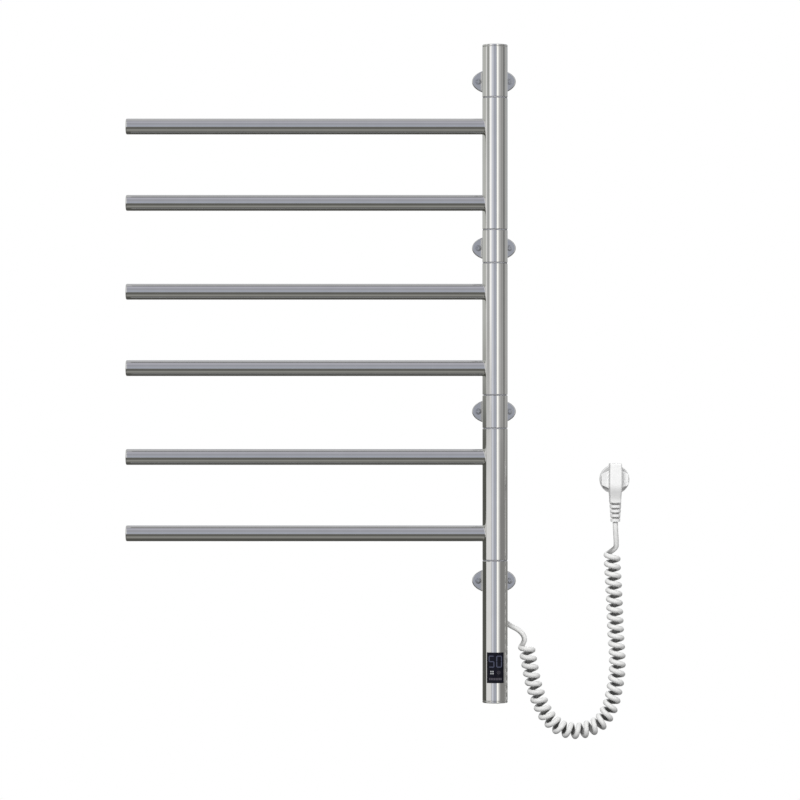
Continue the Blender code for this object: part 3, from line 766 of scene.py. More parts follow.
class RACK_OT_wall_plates(bpy.types.Operator):
    """Shapes the oval wall plates: an ellipse drawn in by the edge's rounding as it rises to the front."""
    bl_idname = "rack.wall_plates"
    bl_label = "Wall plates"

    def execute(self, context):
        edge = context.scene.rack_sizes.plate_edge
        front = PLATE_THICKNESS - edge
        turn = np.linspace(0.0, math.pi / 2, 7)
        inset = np.concatenate([[3.0 * MM, 0.35 * MM, 0.3 * MM, 0.0, 0.0], edge * (1 - np.cos(turn)),
                                [edge + 0.1 * MM, edge + 4.0 * MM]])[:, None]
        depth = np.concatenate([[0.0, 0.0, 0.0, 0.3 * MM, front - 0.1 * MM], front + edge * np.sin(turn),
                                [PLATE_THICKNESS, PLATE_THICKNESS]])[:, None]
        angle = round_angles(POST_SIDES)
        for number in BRACKETS:
            node = f"wall_plate_{number}"
            centre = middle(node)
            grid = spread_points(centre[0] + (span(node, 0) / 2 - inset) * np.cos(angle), -depth,
                                 centre[2] + (span(node, 2) / 2 - inset) * np.sin(angle))
            # The plates take a copy of the steel painted 0.88 as bright: painted shade on their reflections
            add_grid(node, "pressed", grid, polished_steel("X", 0.88))
        return {"FINISHED"}


class RACK_OT_wall_screws(bpy.types.Operator):
    """Turns the wall screws: a raised head with a cross recess, a coned neck and a shank with a point.

    The head's height falls as the square of the distance from its middle, less a recess where a point lies
    within half the recess's width of either of two crossed lines.
    """
    bl_idname = "rack.wall_screws"
    bl_label = "Wall screws"

    def execute(self, context):
        head, crown, shank = 4.0 * MM, 0.2 * MM, 1.9 * MM
        slot_half, slot_reach, slot_depth = 0.4 * MM, 2.0 * MM, 0.8 * MM
        top = np.linspace(0.06, 1.0, 26) * head
        rise = crown * (1 - (top / head) ** 2)
        x, z = circles(np.concatenate([top, [head, shank, shank, 0.5 * MM]]), round_angles(96))

        def slot(along, across):
            """1 inside a slot and 0 outside it, with a soft edge."""
            length = smooth_step(-np.abs(along), -slot_reach, -slot_reach + 0.3 * MM)
            return length * smooth_step(-np.abs(across), -slot_half - 0.12 * MM, -slot_half + 0.12 * MM)

        recess = np.maximum(slot(x, z), slot(z, x)) * slot_depth
        recess[len(top):] = 0.0
        for node in (f"wall_screw_{side}_{number}" for number in BRACKETS for side in ("left", "right")):
            centre = middle(node)
            point = -PLATE_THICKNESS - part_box(node)[1].y
            proud = np.concatenate([rise, [-0.4 * MM, -2.4 * MM, point + 3 * MM, point]])
            lift = proud[:, None] - recess
            grid = spread_points(centre[0] + x, -PLATE_THICKNESS - lift, centre[2] + z)
            add_grid(node, "turned", grid, screw_steel())
        return {"FINISHED"}


# ---------------------------------------------------------------- display


def on_post(x, z, lift):
    """Points on the front of the post, at a distance x round it from the middle and a height z."""
    angle = x / POST_RADIUS
    radius = POST_RADIUS + lift
    return spread_points(POST_X + radius * np.sin(angle), POST_Y - radius * np.cos(angle), z)


def tube_faces(rows, columns, start):
    """Faces of a closed tube of points, rows by columns, numbered from start: sides and two end faces."""
    index = np.arange(rows * columns).reshape(rows, columns) + start
    here, below = index[:-1], index[1:]
    sides = np.stack([here, np.roll(here, -1, 1), np.roll(below, -1, 1), below], axis=-1).reshape(-1, 4)
    return np.vstack([sides, index[0, ::-1], index[-1]])


MARK_STEPS = 13


def bent_marks(name, marks, lift, thickness):
    """Thin closed plates bent round the front of the post.

    A mark is a list of (x, low z, high z). It is resampled to even steps in x, so that it follows the bend,
    and each step becomes four corners: low and high on the mark's face, then high and low on its underside.
    """
    points, faces = [], []
    for number, mark in enumerate(marks):
        mark = np.array(mark, float)
        x = np.interp(np.linspace(0, len(mark) - 1, MARK_STEPS), np.arange(len(mark)), mark[:, 0])
        low, high = (np.interp(x, mark[:, 0], mark[:, i]) for i in (1, 2))
        ring = [on_post(x, low, lift), on_post(x, high, lift), on_post(x, high, lift - thickness),
                on_post(x, low, lift - thickness)]
        points.append(np.stack(ring, axis=1).reshape(-1, 3))
        faces.append(tube_faces(MARK_STEPS, len(ring), MARK_STEPS * len(ring) * number))
    return mesh_from_faces(name, np.vstack(points), np.vstack(faces), np.zeros((0, 3), int))


def level_bar(left, right, z, stroke):
    """A digit's level bar with pointed ends."""
    h = stroke / 2
    return [(left, z - 0.01 * MM, z + 0.01 * MM), (left + h, z - h, z + h), (right - h, z - h, z + h),
            (right, z - 0.01 * MM, z + 0.01 * MM)]


def upright_bar(x, low, high, stroke):
    """A digit's upright bar with pointed ends."""
    h = stroke / 2
    return [(x - h, low + h, high - h), (x, low, high), (x + h, low + h, high - h)]


DIGIT_BARS = {5: "afgcd", 0: "abcdef"}


def digit_marks(digit, left, low, width, height, stroke):
    """The lit bars of one seven-bar digit."""
    right, high, half = left + width, low + height, low + height / 2
    bars = {
        "a": level_bar(left, right, high, stroke), "g": level_bar(left, right, half, stroke),
        "d": level_bar(left, right, low, stroke), "f": upright_bar(left, half, high, stroke),
        "b": upright_bar(right, half, high, stroke), "e": upright_bar(left, low, half, stroke),
        "c": upright_bar(right, low, half, stroke),
    }
    return [bars[bar] for bar in DIGIT_BARS[digit]]


def tile(x, z, width, height):
    """An upright rectangle round a middle."""
    low, high = z - height / 2, z + height / 2
    return [(x - width / 2, low, high), (x + width / 2, low, high)]


def ring_marks(x, z, radius, width, parts):
    """A ring cut in parts: each part is a small square on the ring."""
    return [tile(x + radius * math.cos(angle), z + radius * math.sin(angle), width, width)
            for angle in round_angles(parts)]


class RACK_OT_display(bpy.types.Operator):
    """Bends the display glass into its window and lays the lit marks on it."""
    bl_idname = "rack.display"
    bl_label = "Touch display"

    def execute(self, context):
        wall = context.scene.rack_sizes.tube_wall
        low, high = LENS_LOW.z, LENS_HIGH.z
        proud = 0.10 * MM
        inner, outer = POST_RADIUS - wall, POST_RADIUS + proud
        profile = rounded([(inner, low, 0.2 * MM), (outer, low, 0.35 * MM), (outer, high, 0.35 * MM),
                           (inner, high, 0.2 * MM)], closed=True)
        reach = math.asin((LENS_HIGH.x - LENS_LOW.x) / 2 / POST_RADIUS)
        side_edge = 0.012
        angle = np.concatenate([[-reach], np.linspace(-reach + side_edge, reach - side_edge, 40), [reach]])
        thinner, shorter = np.ones((2, len(angle), 1))
        thinner[[0, -1]] = 0.833
        shorter[[0, -1]] = 0.995
        centre_r, centre_z = POST_RADIUS - wall / 2, (low + high) / 2
        radius = centre_r + (profile[:, 0] - centre_r) * thinner
        across, forward = radius * np.sin(angle)[:, None], radius * np.cos(angle)[:, None]
        grid = spread_points(POST_X + across, POST_Y - forward, centre_z + (profile[:, 1] - centre_z) * shorter)
        add_grid("display_lens", "bent", grid, display_glass())

        width, height, stroke = 6.3 * MM, 13.8 * MM, 1.3 * MM
        digit_low = high - 4.5 * MM - height
        digits = digit_marks(5, -8.1 * MM, digit_low, width, height, stroke)
        digits += digit_marks(0, 1.7 * MM, digit_low, width, height, stroke)
        icon_z, mode_x, ring_x = high - 25.2 * MM, -4.3 * MM, 4.2 * MM
        pair = (-1.3 * MM, 1.3 * MM)
        squares = [tile(mode_x + x, icon_z + z, 1.6 * MM, 1.6 * MM) for x in pair for z in pair]
        dim = ring_marks(ring_x, icon_z, 1.8 * MM, 0.8 * MM, 8) + [tile(ring_x, icon_z, 0.9 * MM, 0.9 * MM)]
        dim += [tile((-7.3 + 2.09 * step) * MM, high - 33.4 * MM, 1.5 * MM, 2.8 * MM) for step in range(8)]
        for name, marks, colour, strength in (
                ("display_digits", digits, context.scene.rack_colours.digits, 0.34),
                ("display_mode_icon", squares, (0.66, 0.70, 0.70), 0.75),
                ("display_level_bar", dim, (0.15, 0.14, 0.16), 0.55)):
            mesh = bent_marks(name, marks, proud + 0.04 * MM, 0.08 * MM)
            add_piece(name, mesh, lit_mark(f"{name}_light", colour, strength), TRUNK)
        return {"FINISHED"}


# ---------------------------------------------------------------- cord and plug


LEAD_ROUTE = (
    (0.0000, -0.0284, -0.6800),
    (0.0001, -0.0250, -0.6801),
    (0.0016, -0.0205, -0.6810),
    (0.0056, -0.0175, -0.6840),
    (0.0120, -0.0162, -0.6890),
    (0.0205, -0.0160, -0.6950),
    (0.0300, -0.0160, -0.7002),
    (0.0365, -0.0160, -0.7065),
    (0.0385, -0.0160, -0.7125),
    (0.0372, -0.0150, -0.7172),
)
COIL_ROUTE = (
    (0.0409, -0.0160, -0.7211),
    (0.0457, -0.0160, -0.7470),
    (0.0503, -0.0160, -0.7698),
    (0.0575, -0.0160, -0.7906),
    (0.0678, -0.0160, -0.8107),
    (0.0828, -0.0160, -0.8244),
    (0.0990, -0.0160, -0.8290),
    (0.1166, -0.0160, -0.8277),
    (0.1355, -0.0160, -0.8185),
    (0.1472, -0.0160, -0.8004),
    (0.1531, -0.0160, -0.7782),
    (0.1567, -0.0160, -0.7547),
    (0.1569, -0.0160, -0.7327),
    (0.1553, -0.0160, -0.7098),
    (0.1538, -0.0160, -0.6760),
    (0.1526, -0.0160, -0.6496),
    (0.1509, -0.0160, -0.6200),
    (0.1502, -0.0160, -0.6010),
)
TAIL_ROUTE = (
    (0.1546, -0.0150, -0.5958),
    (0.1556, -0.0176, -0.5890),
    (0.1551, -0.0195, -0.5810),
    (0.1545, -0.0211, -0.5715),
    (0.1542, -0.0215, -0.5628),
)
FIRST_STRAND = 3.7 * MM
START_MARGIN = 0.3 * MM
END_MARGIN = 2.1 * MM
POINTS_PER_TURN = 26


JOIN_STEPS = 8
# Least distance from the wire to the coil's axis on the coil proper, as a share of the coil's radius
COILED = 0.805


def curly_route(coil_radius, pitch):
    """Centreline of the curly stretch.

    The wire stands coil_radius from the coil's axis line. Its phase grows evenly with the distance along the
    axis, one turn to each pitch, and turns left-handed: phase 0 is on the outside of the hanging loop and a
    quarter turn later is at the front, which it first reaches FIRST_STRAND along the axis.
    """
    axis = smooth_curve(COIL_ROUTE, 24)
    stop = lengths_along(axis)[-1] - END_MARGIN
    count = round((stop - START_MARGIN) / pitch * POINTS_PER_TURN)
    targets = np.linspace(START_MARGIN, stop, count)
    tangents = at_lengths(axis, targets + 0.3 * MM) - at_lengths(axis, targets - 0.3 * MM)
    tangents /= np.linalg.norm(tangents, axis=1)[:, None]
    into_wall = np.array([0.0, 1.0, 0.0])
    outward = np.cross(into_wall, tangents)
    outward /= np.linalg.norm(outward, axis=1)[:, None]
    phase = (math.pi / 2 + math.tau * (targets - FIRST_STRAND) / pitch)[:, None]
    return at_lengths(axis, targets) + coil_radius * (np.cos(phase) * outward - np.sin(phase) * into_wall)


def cord_path(coil_radius, pitch):
    """The whole centreline: the lead, the curly stretch and the tail, as one smooth line.

    The lead and the tail are each drawn with three points of the curly stretch, and the two spans between
    those are then left out of them.
    """
    curly = curly_route(coil_radius, pitch)
    shared = 2 * JOIN_STEPS + 1
    lead = smooth_curve(np.vstack([LEAD_ROUTE, curly[:3]]), JOIN_STEPS)[:-shared]
    tail = smooth_curve(np.vstack([curly[-3:], TAIL_ROUTE]), JOIN_STEPS)[shared:]
    return np.vstack([lead, curly, tail])


def painted_inner_side_shade(path, tube, radius, coil_radius, pitch):
    """Painted shade for the coil's inner side: how squarely each point of the tube looks into the coil, 0 on
    its outside and on a straight stretch.

    The coil's axis is the mean of the line over a whole turn. A point's depth is the part of its offset from
    the line that points at the axis, as a share of the radius.
    """
    travelled = lengths_along(path)
    turn = math.hypot(pitch, math.tau * coil_radius)
    total = np.cumsum((path[1:] + path[:-1]) / 2 * np.diff(travelled)[:, None], axis=0)
    total = np.vstack([np.zeros(3), total])
    ends = [np.clip(travelled + half, 0, travelled[-1]) for half in (-turn / 2, turn / 2)]
    sums = [np.stack([np.interp(end, travelled, total[:, i]) for i in range(3)], axis=-1) for end in ends]
    inward = (sums[1] - sums[0]) / (ends[1] - ends[0])[:, None] - path
    size = np.linalg.norm(inward, axis=1)
    inward *= (np.clip(size / (COILED * coil_radius), 0.0, 1.0) / np.maximum(size, 1e-6))[:, None]
    facing = np.einsum("ijk,ik->ij", tube - path[:, None], inward) / radius
    return smooth_step(facing, 0.0, 0.8)


class RACK_OT_cord(bpy.types.Operator):
    """Winds the curly cord from the gland behind the post to the boot of the plug.

    The tube is a circle of the cord's radius carried along its centreline. The tapered strain relief is the
    same sweep with a radius that falls from the gland's to just over the cord's, with raised rings on it.
    """
    bl_idname = "rack.cord"
    bl_label = "Curly cord"

    def execute(self, context):
        sizes = context.scene.rack_sizes
        radius = sizes.cord_diameter / 2
        coil_radius = (sizes.coil_diameter - sizes.cord_diameter) / 2
        path = cord_path(coil_radius, sizes.coil_pitch)
        sheath = white_plastic("cord_sheath", context.scene.rack_colours.cord, 0.36, 900.0)
        tube = tube_along(path, radius, 16)
        # Painted shade: the sheath is darkened on the coil's inner side, where the strands would shade each
        # other
        mesh = mark_painted_shade(grid_mesh("curly_cord", tube),
                           painted_inner_side_shade(path, tube, radius, coil_radius, sizes.coil_pitch))
        cord = add_piece("curly_cord", mesh, sheath, TRUNK,
                         ["cord_lead", "cord_coil", "cord_tail"])

        relief_length, first_radius, last_radius = 21 * MM, 4.7 * MM, radius + 0.35 * MM
        ring_height, ring_count = 0.32 * MM, 6
        share = np.linspace(0.0, 1.0, 64)
        rings = ring_height * (0.5 + 0.5 * np.cos(share * math.tau * ring_count)) * (1 - share)
        relief_radius = first_radius + (last_radius - first_radius) * share + rings
        relief_tube = tube_along(at_lengths(path, share * relief_length), relief_radius, 32)
        relief = add_piece("strain_relief", grid_mesh("strain_relief", relief_tube), sheath, TRUNK)
        with_pieces = [relief]
        with_pieces += [bpy.data.objects[name] for name in (
            "plug_boot_ribbed", "plug_disc", "plug_grip", "plug_pin_1_turned", "plug_pin_2_turned")]
        return {"FINISHED"}


class RACK_OT_gland(bpy.types.Operator):
    """Turns the cord gland that sits on the back of the control tube."""
    bl_idname = "rack.gland"
    bl_label = "Cord gland"

    def execute(self, context):
        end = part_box("cord_gland")[1].y - POST_Y
        grid = saddled_boss("cord_gland", [
            (0.0, end - 5.2 * MM), (0.5 * MM, end - 4.9 * MM), (0.5 * MM, end - 4.3 * MM),
            (0.1 * MM, end - 4.0 * MM), (0.2 * MM, end - 3.0 * MM), (0.9 * MM, end - 1.0 * MM),
            (1.6 * MM, end - 0.2 * MM), (2.2 * MM, end)])
        plastic = white_plastic("gland_plastic", context.scene.rack_colours.plug, 0.42, 1400.0)
        add_grid("cord_gland", "turned", grid, plastic)
        return {"FINISHED"}


def hexagon_radius(angle, half_width, corner_height, apex_height, rounding):
    """Distance from the middle to the edge of a six-sided outline with upright left and right sides.

    Each side is a line at a distance d from the middle, square to a direction f, so the outline lies at
    d / cos(angle - f). The least of these is taken, as a soft minimum that rounds the corners.
    """
    slope = math.atan2(half_width, apex_height - corner_height)
    slant = apex_height * math.sin(slope)
    sides = [(0.0, half_width), (math.pi, half_width)]
    for turn in (math.pi / 2 - slope, slope - math.pi / 2):
        sides += [(math.pi / 2 - turn, slant), (-math.pi / 2 - turn, slant)]
    total = np.zeros_like(angle)
    for facing, distance in sides:
        cosine = np.clip(np.cos(angle - facing), 1e-3, None)
        total += (distance / cosine) ** (-rounding)
    return total ** (-1 / rounding)


# The disc of the plug from the wall out: depth in mm, size as a share of the disc's radius, share of the
# six-sided outline, and painted shade on the grained slopes. DISC_BACK's depths are from the back of the plug.
DISC_BACK = (
    (0.0, 16.0 / 18.6, 0.0, 0.0), (0.0, 17.9 / 18.6, 0.0, 0.0), (-0.2, 18.3 / 18.6, 0.0, 0.0),
    (-0.8, 1.0, 0.0, 0.0), (-1.0, 1.0, 0.0, 0.0),
)

DISC_FRONT = (
    (-10.6, 1.0, 0.0, 0.0), (-10.8, 1.0, 0.0, 0.0), (-10.9, 0.996, 0.0, 0.0), (-11.1, 0.985, 0.0, 0.0),
    (-11.2, 0.975, 0.0, 0.0), (-11.4, 0.965, 0.06, 0.38), (-16.9, 0.95, 1.0, 0.38), (-17.0, 0.949, 1.0, 0.0),
    (-17.1, 0.948, 1.0, 0.0), (-17.4, 0.935, 1.0, 0.0), (-17.5, 0.91, 1.0, 0.0), (-17.5, 0.90, 1.0, 0.0),
)


class RACK_OT_plug(bpy.types.Operator):
    """Shapes the plug: a round disc that turns six-sided at the front, a tall grip over it and two pins."""
    bl_idname = "rack.plug"
    bl_label = "Angled plug"

    def execute(self, context):
        pins = [middle(f"plug_pin_{number}") for number in (1, 2)]
        self.add_disc((pins[0][0] + pins[1][0]) / 2, pins[0][2])
        self.add_grip((pins[0][0] + pins[1][0]) / 2)
        for number, pin in enumerate(pins, start=1):
            node = f"plug_pin_{number}"
            low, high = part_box(node)
            radius = span(node, 0) / 2
            corners = [(radius * 0.4, low.y, 0.0), (radius, low.y, 0.2 * MM),
                       (radius, high.y - 1.6 * MM, 0.8 * MM), (radius * 0.55, high.y, 0.5 * MM),
                       (radius * 0.2, high.y, 0.0)]
            grid = revolve(rounded(corners), (pin[0], 0.0, pin[2]), "Y", SMALL_SIDES)
            add_grid(node, "turned", grid, pin_metal())
        return {"FINISHED"}

    def add_disc(self, centre_x, centre_z):
        """Each row is a circle of the disc's radius mixed with the six-sided outline, times the row's size."""
        angle = round_angles(144)
        radius, half_width = 18.6 * MM, 18.2 * MM
        six_sided = hexagon_radius(angle, half_width, 7.4 * MM, 16.0 * MM, 60.0)
        rows = np.array([(PLUG_HIGH.y / MM + row[0], *row[1:]) for row in DISC_BACK] + list(DISC_FRONT))
        depth, size, share, painted_facet_shade = rows.T[:, :, None]
        across, up = circles(size * (radius * (1 - share) + six_sided * share), angle)
        mesh = grid_mesh("plug_disc", spread_points(centre_x + across, depth * MM, centre_z + up))
        # Painted shade on the disc's slopes, stronger on the upper ones than on the lower ones
        mark_painted_shade(mesh, painted_facet_shade * (1 + 0.6 * np.sin(angle)))
        add_piece("plug_disc", mesh, plug_plastic(), TRUNK, ["plug_body"])

    def add_grip(self, centre_x):
        """Each level is a superellipse: a cosine and a sine, both to the power of 1/4, times half its sizes.

        The sizes shrink by a quarter circle at the crown. Down the grip its width swells and falls as half
        a sine wave, and its front draws back by a smooth step.
        """
        top, bottom = PLUG_HIGH.z, BOOT_HIGH.z + 0.1 * MM
        front, back = PLUG_LOW.y, -6.0 * MM
        turn = np.linspace(math.pi / 2, 0.0, 9)
        crown, power = 2.2 * MM, 1 / 4
        sides = np.linspace(top - crown - 0.5 * MM, bottom + 6.0 * MM, 14)
        level = np.concatenate([top - crown * (1 - np.sin(turn)), sides, [bottom + 3 * MM, bottom]])
        drawn_in = np.concatenate([crown * (1 - np.cos(turn)), np.zeros(16)])
        down = (top - level) / (top - bottom)
        swell = np.sin(np.clip(down * 1.25, 0.0, 1.0) * math.pi)
        half_width = (7.7 + 0.75 * swell) * MM - 0.15 * drawn_in - 0.5 * MM * smooth_step(down, 0.72, 1.0)
        face = front + drawn_in + 8.0 * MM * smooth_step(down, 0.55, 1.0)
        angle = round_angles(72)
        unit_x, unit_y = (np.sign(wave) * np.abs(wave) ** power for wave in (np.cos(angle), np.sin(angle)))
        grid = spread_points(centre_x + half_width[:, None] * unit_x,
                             ((back + face) / 2)[:, None] + ((back - face) / 2)[:, None] * unit_y,
                             level[:, None])
        add_piece("plug_grip", grid_mesh("plug_grip", grid), plug_plastic(), TRUNK)


class RACK_OT_plug_boot(bpy.types.Operator):
    """Shapes the ribbed boot: a tapering oval sleeve with cross slots that leave its two sides whole.

    The sleeve's radius falls evenly from top to tip. A slot lowers it by a smooth step up and down along the
    sleeve, times a smooth step across it that is 1 at the front and back and 0 at the sides.
    """
    bl_idname = "rack.plug_boot"
    bl_label = "Plug boot"

    def execute(self, context):
        centre = middle("plug_boot")
        top, length = BOOT_HIGH.z, BOOT_HIGH.z - BOOT_LOW.z
        first_radius, last_radius = 7.6 * MM, 6.0 * MM
        first_slot, pitch, slots = 1.9 * MM, 5.85 * MM, 4
        core = context.scene.rack_sizes.cord_diameter / 2 + 0.3 * MM
        share = np.linspace(0.0, 1.0, 150)[:, None]
        angle = round_angles(96)
        plain = first_radius + (last_radius - first_radius) * share
        slot_middles = (first_slot + pitch * np.arange(slots)) / length
        away = np.abs(share - slot_middles).min(axis=1, keepdims=True) * length
        slot = smooth_step(-away, -1.3 * MM, -1.0 * MM)
        hollow_and_painted_shade = slot * smooth_step(np.abs(np.sin(angle)), 0.30, 0.42)
        radius = plain - (plain - core) * hollow_and_painted_shade - 0.3 * MM * slot
        radius[0] -= 0.5 * MM
        radius[-1] -= 0.6 * MM
        across, forward = circles(radius, angle)
        grid = spread_points(centre[0] + across, centre[1] + forward, top - share * length)
        # Painted shade in the slots: 0.6 of the slot mask darkens the boot's colour there
        mesh = mark_painted_shade(grid_mesh("plug_boot", grid), 0.6 * hollow_and_painted_shade)
        add_piece("plug_boot_ribbed", mesh, plug_plastic(), TRUNK, ["plug_boot"])
        return {"FINISHED"}


# ---------------------------------------------------------------- inside


class RACK_OT_inner_parts(bpy.types.Operator):
    """Finishes the parts inside the tubes: the spine, the heating cables, the boards and their carrier."""
    bl_idname = "rack.inner_parts"
    bl_label = "Inner parts"

    def execute(self, context):
        repaint("spine_tube", screw_steel())
        repaint("board_carrier", dark_plastic())
        repaint("display_board", circuit_board())
        repaint("power_board", circuit_board())
        for number in SWIVELS:
            repaint(f"heater_cable_{number}", heater_silicone())
        return {"FINISHED"}


# ---------------------------------------------------------------- stage


# Soft boxes and flags round the rack: azimuth and half width in degrees from the camera's side towards +X,
# lowest and highest elevation in degrees, brightness and tint. A later one covers an earlier one.
STUDIO_PANELS = (
    ("back, high left", -180, 62, 35, 90, 0.62, (0.99, 1.00, 1.03)),
    ("back, high right", 180, 62, 35, 90, 0.62, (0.99, 1.00, 1.03)),
    ("back, low left", -180, 80, -90, -30, 0.10, (1.00, 1.00, 0.93)),
    ("back, low right", 180, 80, -90, -30, 0.10, (1.00, 1.00, 0.93)),
    ("sky line", 0, 181, -5, 2, 0.52, (1.00, 1.00, 1.00)),
    ("left wall, high", -118, 34, -1.5, 60, 0.62, (0.99, 1.01, 0.97)),
    ("left wall, low", -118, 34, -60, 0.3, 0.11, (0.98, 1.00, 0.88)),
    ("left lamp, low", -63, 25.5, -9, -0.5, 0.95, (1.00, 1.00, 1.00)),
    ("left lamp, high", -42, 10, 0.5, 60, 1.30, (1.00, 1.00, 1.00)),
    ("left gap, high", -67, 10, 4.0, 60, 0.42, (0.98, 1.00, 0.96)),
    ("side lamp, high", -86, 7, 0.5, 60, 0.95, (1.00, 1.00, 1.00)),
    ("left fill", -24, 9, -9, 30, 0.84, (0.95, 0.98, 1.09)),
    ("camera side", 0, 12, -7, 20, 0.53, (0.92, 0.97, 1.13)),
    ("key lamp", 23, 8, -10, 60, 1.40, (1.00, 1.00, 0.97)),
    ("right fill", 42, 8, -9, 30, 0.64, (1.00, 1.00, 1.00)),
    ("right wall, low", 72, 26, -60, -0.5, 0.29, (1.01, 1.00, 0.98)),
    ("right back, low", 128, 28, -60, -0.5, 0.27, (1.01, 1.00, 0.96)),
    ("right wall, high", 68, 18, 0.5, 60, 0.42, (1.00, 1.00, 0.99)),
    ("right flag, high", 89, 6, -0.8, 60, 0.10, (1.00, 1.00, 0.97)),
    ("right lamp", 112, 9, -20, 60, 0.50, (1.00, 1.00, 0.98)),
)
# Brightness by elevation in degrees, with its tint, for the directions that no panel covers
ROOM_GLOW = (
    (-90, 0.14, (1.00, 1.00, 0.93)), (-71, 0.20, (1.00, 1.00, 0.93)), (-55, 0.46, (1.00, 1.00, 0.95)),
    (-40, 0.18, (1.00, 1.00, 0.93)), (-24, 0.12, (1.00, 1.00, 0.92)), (-9, 0.20, (1.00, 1.00, 0.95)),
    (-3, 0.46, (1.00, 1.01, 0.98)), (6, 0.56, (0.97, 1.00, 1.02)), (20, 0.50, (0.96, 0.98, 1.08)),
    (36, 0.44, (0.95, 0.97, 1.10)), (52, 0.50, (0.95, 0.97, 1.10)), (64, 0.68, (0.97, 0.97, 1.10)),
    (78, 0.46, (0.96, 0.97, 1.08)), (90, 0.42, (0.98, 0.98, 1.05)),
)


# Softness of a panel's edges in degrees, and what matt surfaces see instead of the panels
PANEL_SIDE_SOFTNESS = 2.5

PANEL_END_SOFTNESS = 1.3

AMBIENT = (0.21, 0.21, 0.213, 1.0)


def build_surroundings(tree):
    """The brightness in each direction: the room's glow by elevation, covered by each panel in turn."""
    tree.nodes.clear()
    nodes = Nodes(tree)

    def step(value, edge, softness):
        """0 before the edge and 1 after it, or the other way round where softness is negative."""
        return nodes.spread(value, edge - softness, edge + softness, 0.0, 1.0, "SMOOTHSTEP")

    direction = nodes.node("ShaderNodeTexCoord").outputs["Generated"]
    parts = nodes.node("ShaderNodeSeparateXYZ", {"Vector": direction}).outputs
    to_degrees = math.degrees(1.0)
    towards_camera = nodes.maths("MULTIPLY", parts["Y"], -1.0)
    azimuth = nodes.maths("MULTIPLY", nodes.maths("ARCTAN2", parts["X"], towards_camera), to_degrees)
    elevation = nodes.maths("MULTIPLY", nodes.maths("ARCSINE", parts["Z"]), to_degrees)

    rise = nodes.maths("DIVIDE", nodes.maths("ADD", elevation, 90.0), 180.0)
    ramp = nodes.node("ShaderNodeValToRGB", {"Fac": rise})
    ramp.color_ramp.interpolation = "B_SPLINE"
    stops = ramp.color_ramp.elements
    while len(stops) < len(ROOM_GLOW):
        stops.new(0.5)
    for stop, (degrees, brightness, tint) in zip(stops, ROOM_GLOW):
        stop.position = (degrees + 90) / 180
        stop.color = scaled(tint, brightness)
    colour = ramp.outputs["Color"]
    for label, centre, half_width, low, high, brightness, tint in STUDIO_PANELS:
        aside = nodes.maths("ABSOLUTE", nodes.maths("SUBTRACT", azimuth, float(centre)))
        across = step(aside, half_width, -PANEL_SIDE_SOFTNESS)
        above = step(elevation, low, PANEL_END_SOFTNESS)
        below = step(elevation, high, -PANEL_END_SOFTNESS)
        share = nodes.maths("MULTIPLY", across, nodes.maths("MULTIPLY", above, below))
        share.node.label = label
        colour = nodes.mix(share, colour, scaled(tint, brightness))

    rays = nodes.node("ShaderNodeLightPath").outputs
    lit = nodes.mix(rays["Is Diffuse Ray"], colour, AMBIENT)
    seen = nodes.mix(rays["Is Camera Ray"], lit, (1.0, 1.0, 1.0, 1.0))
    background = nodes.node("ShaderNodeBackground", {"Color": seen})
    nodes.node("ShaderNodeOutputWorld", {"Surface": background.outputs["Background"]})


# Name, place from the point the camera looks at, size in metres and watts
SOFT_LAMPS = (
    ("key", (-0.3, -2.75, 1.9), 0.9, 101.0),
    ("fill", (1.9, -2.2, 0.1), 1.6, 17.0),
    ("side", (-2.2, -1.6, 0.3), 1.6, 12.0),
    ("back", (0.8, 2.6, 1.5), 1.8, 60.0),
)


def add_soft_lamp(name, aim, offset, size, watts):
    """A square soft lamp that lights matt surfaces; the polished tubes mirror the surroundings instead."""
    data = bpy.data.lights.new(name, "AREA")
    data.shape = "SQUARE"
    data.size = size
    data.energy = watts
    lamp = bpy.data.objects.new(name, data)
    bpy.context.scene.collection.objects.link(lamp)
    lamp.location = Vector(aim) + Vector(offset)
    lamp.rotation_euler = Vector(offset).to_track_quat("Z", "Y").to_euler()
    lamp.visible_camera = False
    lamp.visible_glossy = False


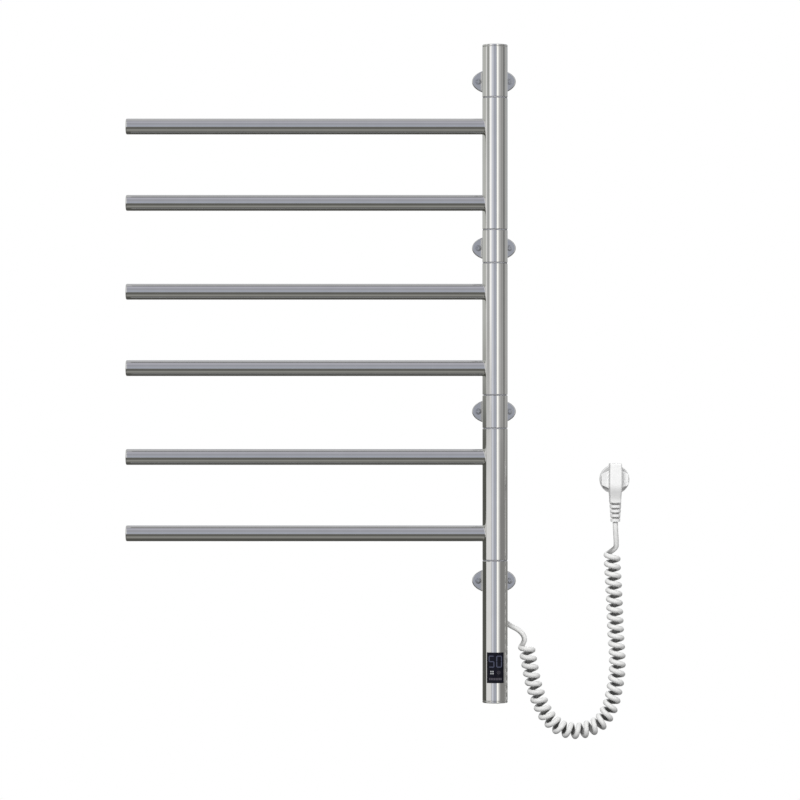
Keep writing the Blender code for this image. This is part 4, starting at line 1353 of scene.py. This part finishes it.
class RACK_OT_stage(bpy.types.Operator):
    """Sets the plain pale floor, the soft studio light and the camera."""
    bl_idname = "rack.stage"
    bl_label = "Stage"

    def execute(self, context):
        scene = context.scene
        studio = scene.rack_studio
        world = bpy.data.worlds.new("studio")
        world.use_nodes = True
        world.cycles.sampling_method = "NONE"
        scene.world = world
        build_surroundings(world.node_tree)
        scene.view_settings.view_transform = "Standard"

        reach = 4.0
        sides = ((-reach, -reach), (reach, -reach), (reach, reach), (-reach, reach))
        mesh = bpy.data.meshes.new("floor")
        mesh.from_pydata([(x, y, studio.floor_height) for x, y in sides], [], [(0, 1, 2, 3)])
        floor = bpy.data.objects.new("floor", mesh)
        scene.collection.objects.link(floor)
        pale = Shader("pale_floor")
        tint = pale.mottled(pale.noise(6.0, 5.0), scaled((0.86, 0.86, 0.86)), scaled((0.83, 0.83, 0.83)))
        pale.set(Base_Color=tint, Roughness=0.7, Emission_Color=(1.0, 1.0, 1.0, 1.0), Emission_Strength=0.55)
        mesh.materials.append(pale.material)
        floor.visible_glossy = False
        floor.visible_diffuse = False

        aim = (POST_X - studio.aim_left, POST_Y, studio.aim_height)
        for name, offset, size, watts in SOFT_LAMPS:
            add_soft_lamp(name, aim, offset, size, watts)

        data = bpy.data.cameras.new("camera")
        data.sensor_width = 36.0
        data.lens = data.sensor_width * studio.distance / studio.view_width
        data.clip_end = 50.0
        camera = bpy.data.objects.new("camera", data)
        scene.collection.objects.link(camera)
        camera.location = (aim[0], aim[1] - studio.distance, aim[2])
        camera.rotation_euler = (math.radians(90), 0.0, 0.0)
        scene.camera = camera
        return {"FINISHED"}


# ---------------------------------------------------------------- panel and registration


OPERATORS = (
    RACK_OT_stage, RACK_OT_plug_boot, RACK_OT_plug, RACK_OT_cord, RACK_OT_gland, RACK_OT_post_tubes,
    RACK_OT_control_tube, RACK_OT_post_caps, RACK_OT_joint_bushes, RACK_OT_bars, RACK_OT_bar_caps,
    RACK_OT_standoffs, RACK_OT_wall_plates, RACK_OT_wall_screws, RACK_OT_display, RACK_OT_inner_parts,
)


class RACK_PT_panel(bpy.types.Panel):
    """Lists the rack's pieces, sizes and colours in the 3D view's sidebar."""
    bl_label = "Towel Warmer"
    bl_idname = "RACK_PT_panel"
    bl_space_type = "VIEW_3D"
    bl_region_type = "UI"
    bl_category = "Towel Warmer"

    def draw(self, context):
        column = self.layout.column()
        for group in (context.scene.rack_sizes, context.scene.rack_colours, context.scene.rack_studio):
            for key in group.bl_rna.properties.keys():
                if key not in ("rna_type", "name"):
                    column.prop(group, key)
        for operator in OPERATORS:
            column.operator(operator.bl_idname)


SETTINGS = {"rack_sizes": RackSizes, "rack_colours": RackColours, "rack_studio": StudioSettings}
CLASSES = (*SETTINGS.values(), *OPERATORS, RACK_PT_panel)


def register():
    for cls in CLASSES:
        bpy.utils.register_class(cls)
    for key, group in SETTINGS.items():
        setattr(bpy.types.Scene, key, bpy.props.PointerProperty(type=group))


def unregister():
    for key in SETTINGS:
        delattr(bpy.types.Scene, key)
    for cls in reversed(CLASSES):
        bpy.utils.unregister_class(cls)


def main():
    register()
    for operator in OPERATORS:
        group, name = operator.bl_idname.split(".")
        getattr(getattr(bpy.ops, group), name)()


if __name__ == "__main__":
    main()
